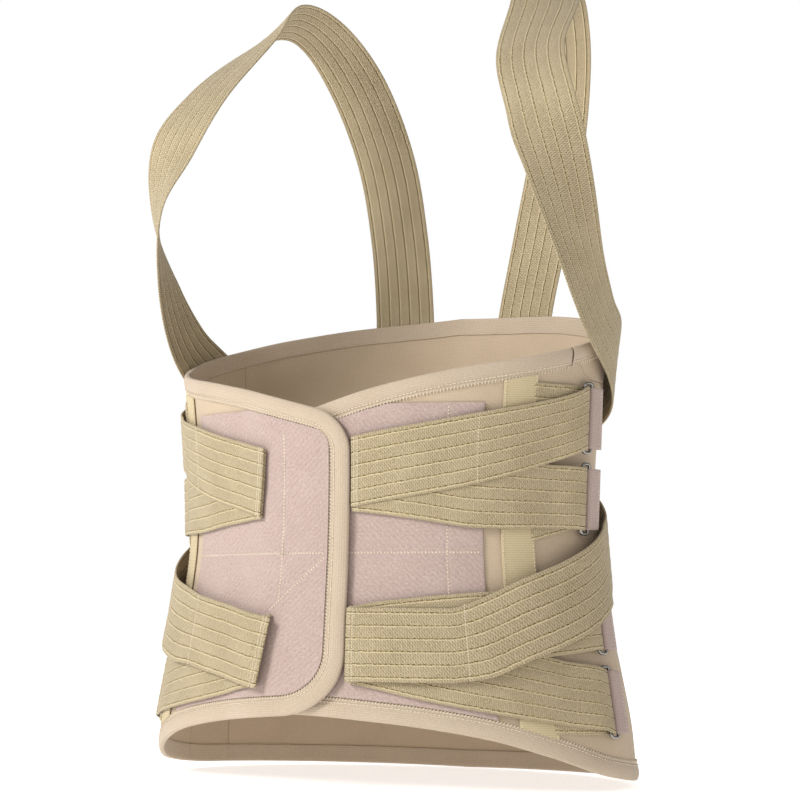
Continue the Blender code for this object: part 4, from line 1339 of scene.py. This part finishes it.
# ---------------------------------------------------------------- bindings
@dataclass(frozen=True)
class BindingTape:
    """Knit edging folded over a panel's edge: flat inside, rolled at the edge, puffed outside."""

    width: float = 0.013
    panel: float = 0.0024
    gap: float = 0.0006
    thickness: float = 0.0006
    puff: float = 0.0012
    reach: float = 0.0010

    def section(self) -> np.ndarray:
        """The fold's (reach past the edge, lift) points, from the inner leg to the outer one."""
        radius = self.panel / 2.0 + self.gap
        inner = [(reach, -self.gap) for reach in np.linspace(-self.width, 0.0, 6)[:-1]]
        turn = [(self.reach * math.cos(a), self.panel / 2.0 + radius * math.sin(a))
                for a in np.linspace(-math.pi / 2.0, math.pi / 2.0, 9)]
        outer = []
        for share in np.linspace(0.0, 1.0, 17)[1:]:
            swell = self.puff * math.sin(math.pi * min(share / 0.80, 1.0)) ** 0.7
            outer.append((-self.width * share, self.panel + self.gap + swell))
        return np.array(inner + turn + outer)

    def cloth(self, path: np.ndarray, lifts: np.ndarray, side: Side) -> Cloth:
        """The tape along a path.

        Args:
            path: (arc, height, outward arc, outward height) rows.
            lifts: the panel's own lift at each row.
            side: the wearer's side.

        Returns:
            The cloth.
        """
        section = self.section()
        arc = path[:, :1] + path[:, 2:3] * section[None, :, 0]
        height = path[:, 1:2] + path[:, 3:4] * section[None, :, 0]
        points = FORM.at(arc, height, lifts[:, None] + section[None, :, 1], side)
        run = np.linalg.norm(np.diff(path[:, :2], axis=0), axis=1)
        along = np.concatenate([[0.0], np.cumsum(run)])[:, None]
        turn = np.linalg.norm(np.diff(section, axis=0), axis=1)
        across = np.concatenate([[0.0], np.cumsum(turn)])[None, :]
        return Cloth(points, along / MM, across / MM, self.thickness, side)

    def whipping(self, path: np.ndarray, lifts: np.ndarray, side: Side) -> Sewing:
        """The slanted cover stitches that hold the tape's outer leg, with a straight row."""
        sewing = Sewing(length=0.0034, radius=0.00046)
        for inset, proud, pitch, slant in ((0.1, 0.0, 0.0026, 1.0), (3.0, 0.0006, 0.0030, 0.0)):
            reach = -self.width + inset * MM
            lift = lifts + self.panel + self.gap + self.thickness / 2.0 + proud
            arc = path[:, 0] + path[:, 2] * reach
            height = path[:, 1] + path[:, 3] * reach
            sewing.on_form(arc, height, lift, side, pitch, slant)
        return sewing


EDGING = BindingTape()


def outward_path(points: list) -> np.ndarray:
    """Add the outward direction to (arc, height) points that run hem, front edge, top."""
    place = np.array(points)
    run = np.gradient(place, axis=0)
    run = run / np.linalg.norm(run, axis=1, keepdims=True)
    path = np.column_stack([place, -run[:, 1], run[:, 0]])
    path[0, 2:] = (0.0, -1.0)
    path[-1, 2:] = (0.0, 1.0)
    return path


# ---------------------------------------------------------------- front and back
@dataclass(frozen=True)
class Seam:
    """A straight sewn line on a loop field, from (arc, height) to (arc, height)."""

    start: tuple
    end: tuple

    def distance(self, arc: np.ndarray, height: np.ndarray) -> np.ndarray:
        """Distance from the line, for points beside it."""
        a, b = np.array(self.start), np.array(self.end)
        way = (b - a) / np.linalg.norm(b - a)
        along = np.clip((arc - a[0]) * way[0] + (height - a[1]) * way[1], 0.0,
                        np.linalg.norm(b - a))
        return np.hypot(arc - a[0] - way[0] * along, height - a[1] - way[1] * along)


@dataclass
class FrontPanel:
    """One front of the belt: body cloth, binding, loop field and the ribbed anchor tape."""

    side: Side
    seams: tuple
    pad_rear: float = 0.128
    pad_top: float = 0.050
    pad_clearance: float = 0.0012
    tape_arcs: tuple = (0.141, 0.166)
    closure_rear: float = 0.017
    closure_heights: tuple = (-0.125, 0.012)
    ripple_pitch: float = 0.031
    ripple: float = 0.00022
    seam_dip: float = 0.00035

    def ripples(self, arc: np.ndarray, height: np.ndarray) -> np.ndarray:
        """Shallow slanting wrinkles in the loop field."""
        wave = np.sin((arc * 0.8 - height) * 2.0 * math.pi / self.ripple_pitch + 3.0 * np.sin(arc * 37.0))
        fade = smooth_step(0.0, 0.03, arc + 0.01) * smooth_step(0.0, 0.04, 0.13 - arc)
        return self.ripple * wave * fade

    def build_panel(self, bench: Bench) -> None:
        """Build the body cloth, from the free front edge to the side seam."""
        edge = CUT.edge(self.side)
        radius = CUT.corner_hem
        corner = edge + radius * (1.0 - np.cos(np.linspace(0.0, math.pi / 2.0, 24)))
        arcs = np.concatenate([corner, stations(corner[-1], CUT.seam + 0.0006, 0.0025)[1:]])[:, None]
        hem, top = CUT.wing(self.side, arcs)
        height = hem + (top - hem) * np.linspace(0.0, 1.0, 91)[None, :]
        cloth = laid(arcs, height, LAYER.panel + LAYER.base(self.side, arcs), EDGING.panel,
                     self.side)
        name = f"{self.side.word}_front_panel"
        bench.cloth(f"{name}_cloth", cloth, Slot.BODY,
                    f"{self.side.word}_front", nodes=(name,))

    def build_binding(self, bench: Bench) -> None:
        """Build the binding round hem, free edge and top, with its stitches."""
        edge = CUT.edge(self.side)
        top_radius, hem_radius = CUT.corners(self.side)
        points = [(arc, float(CUT.hem(arc)))
                  for arc in stations(edge + hem_radius, CUT.seam + 0.0006, 0.003)[::-1]]
        for angle in np.linspace(0.0, math.pi / 2.0, 22)[1:]:
            arc = edge + hem_radius * (1.0 - math.sin(angle))
            points.append((arc, float(CUT.hem(arc)) + hem_radius * (1.0 - math.cos(angle))))
        corner = []
        for angle in np.linspace(0.0, math.pi / 2.0, 14)[1:]:
            arc = edge + top_radius * (1.0 - math.sin(angle))
            corner.append((arc, float(CUT.top(arc)) - top_radius * (1.0 - math.cos(angle))))
        points += [(edge, z) for z in stations(points[-1][1], corner[-1][1], 0.003)[1:-1]]
        points += corner[::-1]
        end = CUT.gusset_line[0][0] - 0.001
        points += [(arc, float(CUT.top(arc))) for arc in stations(edge + top_radius, end, 0.003)]
        path = outward_path(points)
        lifts = LAYER.base(self.side, path[:, 0])
        name = f"{self.side.word}_front_binding"
        bench.cloth(f"{name}_tape", EDGING.cloth(path, lifts, self.side), Slot.BINDING,
                    f"{self.side.word}_front", nodes=(name,), held="folded",
                    sewing=((f"{name}_stitching", EDGING.whipping(path, lifts, self.side)),))

    def build_pad(self, bench: Bench) -> None:
        """Build the brushed loop field with its sewn lines."""
        inset = EDGING.width + self.pad_clearance
        front = CUT.edge(self.side) + inset
        radius = CUT.corner_hem - inset
        corner = front + radius * (1.0 - np.cos(np.linspace(0.0, math.pi / 2.0, 16)))
        arcs = np.concatenate([corner, stations(corner[-1], self.pad_rear, 0.0016)[1:]])[:, None]
        hem, top = CUT.wing(self.side, arcs, inset)
        top = np.minimum(top, self.pad_top)
        height = hem + (top - hem) * np.linspace(0.0, 1.0, 131)[None, :]
        lift = LAYER.pad + LAYER.base(self.side, arcs) + self.ripples(arcs, height)
        for seam in self.seams:
            lift = lift - self.seam_dip * bump_at(0.0, 0.0016, seam.distance(arcs, height))
        cloth = laid(arcs, height, lift, TAPE_THICKNESS, self.side)
        sewing = Sewing(length=0.0026, radius=0.00036)
        for seam in self.seams:
            way = np.linspace(seam.start, seam.end, 60)
            out = LAYER.pad + LAYER.base(self.side, way[:, 0]) + 0.00025
            for slant in (-0.7, 0.7):
                sewing.on_form(way[:, 0], way[:, 1], out, self.side, 0.0026, slant)
        name = f"{self.side.word}_loop_pad"
        bench.cloth(f"{name}_pile", cloth, Slot.LOOP,
                    f"{self.side.word}_front", nodes=(name,), held="laid",
                    rests_on=(f"{self.side.word}_front_panel",),
                    sewing=((f"{name}_stitching", sewing),))

    def build_tape(self, bench: Bench) -> None:
        """Build the ribbed tape that the strap anchors are sewn under."""
        share = np.linspace(0.0, 1.0, 131)[None, :]
        arcs = np.linspace(*self.tape_arcs, 15)[:, None]
        clear = EDGING.width + CLEARANCE
        hem, top = CUT.hem(arcs) + clear, CUT.top(arcs) - clear
        height = hem + (top - hem) * share
        cloth = Cloth(FORM.at(arcs, height, LAYER.pad + 0.0002, self.side), height / MM,
                      arcs / MM, TAPE_THICKNESS, self.side)
        sewing = Sewing(length=0.0024, radius=0.0003)
        for arc in (self.tape_arcs[1] - 0.0014, self.tape_arcs[0] + 0.0014):
            rise = np.linspace(float(CUT.hem(arc)) + clear, float(CUT.top(arc)) - clear, 80)
            sewing.on_form(arc, rise, LAYER.pad + 0.0009, self.side, 0.0030)
        name = f"{self.side.word}_anchor_tape"
        bench.cloth(f"{name}_cloth", cloth, Slot.TAPE,
                    f"{self.side.word}_front", nodes=(name,), held="laid",
                    rests_on=(f"{self.side.word}_front_panel",),
                    sewing=((f"{name}_stitching", sewing),))

    def build(self, bench: Bench) -> None:
        """Build the front."""
        self.build_panel(bench)
        self.build_binding(bench)
        self.build_pad(bench)
        self.build_tape(bench)
        if self.side is Side.RIGHT:
            self.build_closure(bench)

    def build_closure(self, bench: Bench) -> None:
        """Build the hook patch inside the overlapping edge."""
        start = CUT.right_edge + EDGING.width + 0.002
        arcs = stations(start, self.closure_rear, 0.003)[:, None]
        height = np.linspace(*self.closure_heights, 61)[None, :]
        cloth = laid(arcs, height, LAYER.hook_patch, TAPE_THICKNESS, self.side)
        bench.cloth("closure_hook_patch_tape", cloth, Slot.HOOK,
                    "right_front", nodes=("closure_hook_patch",))


@dataclass
class BackSection:
    """The back of the belt: body cloth, side bends, bindings, stays and their casings."""

    bend_end: float = 0.262
    ledge: float = 0.0662
    stay_offsets: tuple = (0.024, 0.062)
    casing_offsets: tuple = (0.008, 0.078)
    casing_span: tuple = (-0.216, 0.124)
    casing_seams: tuple = (0.0095, 0.0365, 0.0495, 0.0765, 0.0430)
    casing_lift: float = 0.0031
    stay_swell: float = 0.0026

    def whole(self, low: float, spacing: float) -> tuple:
        """Arcs across the back, all measured from the left: from low round to low."""
        return stations(low, 2.0 * FORM.back_centre - low, spacing)

    def outline(self, arc: np.ndarray) -> tuple:
        """Hem and top heights at arcs measured round from the left, past the centre back."""
        own = np.minimum(arc, 2.0 * FORM.back_centre - arc)
        return CUT.hem(own), CUT.top(own)

    def build_panel(self, bench: Bench) -> None:
        """Build the centre of the back, and the upper corners over the front panels."""
        arcs = self.whole(self.bend_end, 0.004)[:, None]
        hem, top = self.outline(arcs)
        height = hem + (top - hem) * np.linspace(0.0, 1.0, 91)[None, :]
        cloth = laid(arcs, height, LAYER.panel, EDGING.panel)
        bench.cloth("back_panel_cloth", cloth, Slot.BODY, "back",
                    nodes=("back_panel",))
        for side in Side:
            self.build_gusset(side, bench)
            self.build_side(side, bench)

    def build_gusset(self, side: Side, bench: Bench) -> None:
        """Build the corner that stays with the back above a front panel's rear end."""
        arcs = stations(CUT.gusset_line[0][0] + CLEARANCE, self.bend_end, 0.0025)[:, None]
        low = np.where(arcs < CUT.seam, smooth_curve(CUT.gusset_line, arcs) + 0.0003,
                       self.ledge + 0.004)
        low = np.minimum(low, CUT.top(arcs) - 0.004)
        height = low + (CUT.top(arcs) - low) * np.linspace(0.0, 1.0, 15)[None, :]
        cloth = laid(arcs, height, LAYER.panel, EDGING.panel, side)
        bench.cloth(f"{side.word}_gusset_cloth", cloth, Slot.BODY, "back")

    def build_side(self, side: Side, bench: Bench) -> None:
        """Build the strip behind the side seam that bends when the front opens."""
        arcs = stations(CUT.seam + 0.0008, self.bend_end, 0.0025)[:, None]
        hem = CUT.hem(arcs)
        height = hem + (self.ledge + 0.004 - hem) * np.linspace(0.0, 1.0, 71)[None, :]
        cloth = laid(arcs, height, LAYER.panel, EDGING.panel, side)
        bend = Bend("back", f"{side.word}_front", FORM.at(self.bend_end, -0.08, 0.0012, side),
                    FORM.at(CUT.seam, -0.08, 0.0012, side))
        bench.cloth(f"{side.word}_side_cloth", cloth, Slot.BODY, "back",
                    bend=bend)
        path = np.array([(arc, float(CUT.hem(arc)), 0.0, -1.0)
                         for arc in stations(CUT.seam + 0.0008, self.bend_end, 0.0025)])
        lifts = np.zeros(len(path))
        bench.cloth(f"{side.word}_side_hem_tape", EDGING.cloth(path, lifts, side),
                    Slot.BINDING, "back", bend=bend, held="folded",
                    sewing=((f"{side.word}_side_hem_stitching",
                             EDGING.whipping(path, lifts, side)),))

    def build_bindings(self, bench: Bench) -> None:
        """Build the top and hem bindings of the back."""
        for name, low, up in (("back_top_binding", CUT.gusset_line[0][0] + 0.0006, 1.0),
                              ("back_hem_binding", self.bend_end, -1.0)):
            arcs = self.whole(low, 0.004)
            hem, top = self.outline(arcs)
            path = np.column_stack([arcs, top if up > 0.0 else hem, np.zeros_like(arcs),
                                    np.full_like(arcs, up)])
            lifts = np.zeros(len(path))
            bench.cloth(f"{name}_tape", EDGING.cloth(path, lifts, Side.LEFT),
                        Slot.BINDING, "back", nodes=(name,), held="folded",
                        sewing=((f"{name}_stitching", EDGING.whipping(path, lifts, Side.LEFT)),))

    def build_casings(self, side: Side, bench: Bench) -> None:
        """Build the tape channels that hold the stays."""
        offsets = np.linspace(self.casing_offsets[1], self.casing_offsets[0], 61)[:, None]
        height = np.linspace(*self.casing_span, 115)[None, :]
        over = sum(smooth_step(0.0115, 0.0075, np.abs(offsets - stay))
                   for stay in self.stay_offsets)
        ends = (smooth_step(0.0, 0.006, height - self.casing_span[0])
                * smooth_step(0.0, 0.006, self.casing_span[1] - height))
        lift = self.casing_lift + self.stay_swell * over * (0.35 + 0.65 * ends)
        arcs = FORM.back_centre - offsets
        cloth = Cloth(FORM.at(arcs, height, lift, side), height / MM, offsets / MM, 0.0008, side)
        sewing = Sewing(length=0.0024, radius=0.0003)
        rise = np.linspace(*self.casing_span, 120)
        for offset in self.casing_seams:
            sewing.on_form(FORM.back_centre - offset, rise, 0.0037, side, 0.0030)
        name = f"{side.word}_stay_casing"
        bench.cloth(f"{name}_cloth", cloth, Slot.TAPE, "back", nodes=(name,),
                    held="laid", rests_on=("back_panel",),
                    sewing=((f"{name}_stitching", sewing),))

    def build(self, frame: dict, bench: Bench) -> None:
        """Build the back and dress the stays that it holds."""
        self.build_panel(bench)
        self.build_bindings(bench)
        for side in Side:
            self.build_casings(side, bench)
            for number in (1, 2):
                stay = frame["nodes"][f"{side.word}_back_stay_{number}"]
                for slot in stay.material_slots:
                    slot.material = bench.finishes.by_slot[Slot.STEEL]


# ---------------------------------------------------------------- studio
@dataclass(frozen=True)
class Studio:
    """A pale floor, a white room, soft lights and the camera."""

    floor_drop: float = 0.0005
    room_light: float = 0.43
    floor_glow: float = 0.60
    camera_at: tuple = (0.862, -1.493, -0.096)
    camera_turn: tuple = (95.3, 0.0, 29.73)
    lens: float = 97.0
    lights: tuple = (("key", (-1.4, -2.4, 1.5), (0.0, 0.0, 0.0), 1.1, 80.0),
                     ("fill", (2.6, -1.0, 1.2), (0.0, 0.0, 0.0), 1.4, 5.0),
                     ("rim", (-1.4, 1.8, 1.8), (0.0, 0.0, 0.1), 1.4, 12.0))

    def light(self, name: str, at: tuple, aim: tuple, size: float, power: float) -> None:
        """Add a square soft light.

        Args:
            name: its name.
            at: where it stands.
            aim: the point that it faces.
            size: its side.
            power: its power in watts.
        """
        data = bpy.data.lights.new(name, "AREA")
        data.size = size
        data.energy = power
        lamp = bpy.data.objects.new(name, data)
        lamp.location = at
        lamp.rotation_euler = (Vector(aim) - Vector(at)).to_track_quat("-Z", "Y").to_euler()
        bpy.context.scene.collection.objects.link(lamp)

    def build(self, lowest: float) -> None:
        """Build the studio under an object whose lowest point is given."""
        scene = bpy.context.scene
        scene.view_settings.view_transform = "Standard"
        bm = bmesh.new()
        bmesh.ops.create_grid(bm, x_segments=1, y_segments=1, size=12.0)
        bmesh.ops.translate(bm, verts=bm.verts, vec=(0.0, 0.0, lowest - self.floor_drop))
        mesh = bpy.data.meshes.new("floor")
        bm.to_mesh(mesh)
        bm.free()
        floor = bpy.data.objects.new("floor", mesh)
        scene.collection.objects.link(floor)
        paint = bpy.data.materials.new("pale_matt_floor")
        paint.use_nodes = True
        shader = paint.node_tree.nodes["Principled BSDF"]
        shader.inputs["Base Color"].default_value = linear("#ffffff")
        shader.inputs["Roughness"].default_value = 0.9
        shader.inputs["Emission Color"].default_value = linear("#ffffff")
        shader.inputs["Emission Strength"].default_value = self.floor_glow
        mesh.materials.append(paint)
        floor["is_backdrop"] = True
        world = bpy.data.worlds.new("white_room")
        world.use_nodes = True
        tree = world.node_tree
        room = tree.nodes["Background"]
        room.inputs["Color"].default_value = linear("#ffffff")
        room.inputs["Strength"].default_value = self.room_light
        seen = add_node(tree, "Background", {"Color": linear("#ffffff"), "Strength": 1.0})
        path = add_node(tree, "LightPath")
        both = add_node(tree, "MixShader", {0: path.outputs["Is Camera Ray"],
                                                      1: room.outputs[0], 2: seen.outputs[0]})
        tree.links.new(both.outputs[0], tree.nodes["World Output"].inputs["Surface"])
        scene.world = world
        for light in self.lights:
            self.light(*light)
        data = bpy.data.cameras.new("camera")
        data.lens = self.lens
        data.sensor_width = 36.0
        camera = bpy.data.objects.new("camera", data)
        camera.location = self.camera_at
        camera.rotation_euler = [math.radians(a) for a in self.camera_turn]
        scene.collection.objects.link(camera)
        scene.camera = camera


# ---------------------------------------------------------------- the belt
RING_HEIGHTS = {"strap_1": 0.0406, "strap_2": -0.0204, "strap_3": -0.1100, "strap_4": -0.1714}
TAPE_HEIGHTS = {"strap_1": 0.0420, "strap_2": -0.0285, "strap_3": -0.1110, "strap_4": -0.1700}
STRAP_CENTRES = {
    Side.LEFT: {
        "strap_1": ((0.020, -0.003), (0.035, 0.0), (0.114, 0.014), (0.178, 0.030),
                    (0.204, 0.0406)),
        "strap_2": ((0.020, -0.003), (0.035, -0.004), (0.080, -0.010), (0.125, -0.017),
                    (0.204, -0.0204)),
        "strap_3": ((0.015, -0.129), (0.034, -0.127), (0.054, -0.1235), (0.130, -0.116),
                    (0.204, -0.110)),
        "strap_4": ((0.015, -0.128), (0.034, -0.131), (0.080, -0.142), (0.129, -0.153),
                    (0.204, -0.1714)),
        "waist_strap": ((0.015, -0.1285), (0.034, -0.1285), (0.100, -0.1290), (0.116, -0.1260),
                        (0.153, -0.1090), (0.180, -0.0975), (0.205, -0.0850),
                        (0.229, -0.0700)),
    },
    Side.RIGHT: {
        "strap_1": ((0.020, -0.0105), (0.035, -0.0078), (0.092, 0.0057), (0.130, 0.0165),
                    (0.178, 0.030), (0.204, 0.0406)),
        "strap_2": ((0.020, -0.0085), (0.035, -0.0080), (0.080, -0.0115), (0.125, -0.017),
                    (0.204, -0.0204)),
        "strap_3": ((0.015, -0.1375), (0.034, -0.1335), (0.100, -0.1225), (0.130, -0.118),
                    (0.204, -0.110)),
        "strap_4": ((0.015, -0.132), (0.034, -0.134), (0.080, -0.144), (0.129, -0.154),
                    (0.204, -0.1714)),
        "waist_strap": ((0.015, -0.1385), (0.034, -0.1340), (0.100, -0.1200), (0.125, -0.1150),
                        (0.153, -0.1075), (0.180, -0.0975), (0.205, -0.0850),
                        (0.229, -0.0700)),
    },
}
OUTER_STRAPS = ("strap_1", "strap_3")
PAIRS = {"upper": ("strap_2", "strap_1"), "lower": ("strap_4", "strap_3")}
# The lower and upper ends of each pair's rear ring bars, as (arc, height, lift).
RING_LINES = {"upper": ((0.212, -0.050, 0.0065), (0.212, 0.070, 0.0065)),
              "lower": ((0.209, -0.200, 0.0078), (0.216, -0.082, 0.0078))}
TABS = {
    Side.LEFT: {"upper": Tab(0.0315), "lower": Tab(0.0315), "waist": Tab(0.0315)},
    Side.RIGHT: {"upper": Tab(0.0395, 0.0037), "lower": Tab(0.0295, 0.0067),
                 "waist": Tab(0.0265, 0.0067)},
}
SEAMS = {
    Side.LEFT: (Seam((-0.010, -0.061), (0.127, -0.061)), Seam((0.1025, -0.100), (0.1025, 0.048))),
    Side.RIGHT: (Seam((-0.012, -0.061), (0.127, -0.061)), Seam((0.0225, -0.095), (0.0225, 0.030)),
                 Seam((-0.013, -0.064), (0.031, -0.1044))),
}


def main() -> None:
    """Load the frame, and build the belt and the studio."""
    logging.basicConfig(level=logging.INFO, format="%(name)s: %(message)s")
    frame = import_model()
    cad_box = [list(corner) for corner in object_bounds()]
    bench = Bench(Finishes())
    BackSection().build(frame, bench)
    for side in Side:
        centres, tabs = STRAP_CENTRES[side], TABS[side]
        FrontPanel(side, SEAMS[side]).build(bench)
        for level, names in PAIRS.items():
            runs = tuple(StrapRun(name, RING_HEIGHTS[name], TAPE_HEIGHTS[name],
                                  name in OUTER_STRAPS, centres[name]) for name in names)
            StrapPair(side, level, runs, *RING_LINES[level], tabs[level]).build(bench)
        WaistStrap(side, tabs["waist"], centres["waist_strap"]).build(bench)
        ShoulderStrap(side).build(bench)
    Studio().build(cad_box[0][2])
    LOG.info("%d pieces", len(bench.pieces))


if __name__ == "__main__":
    main()
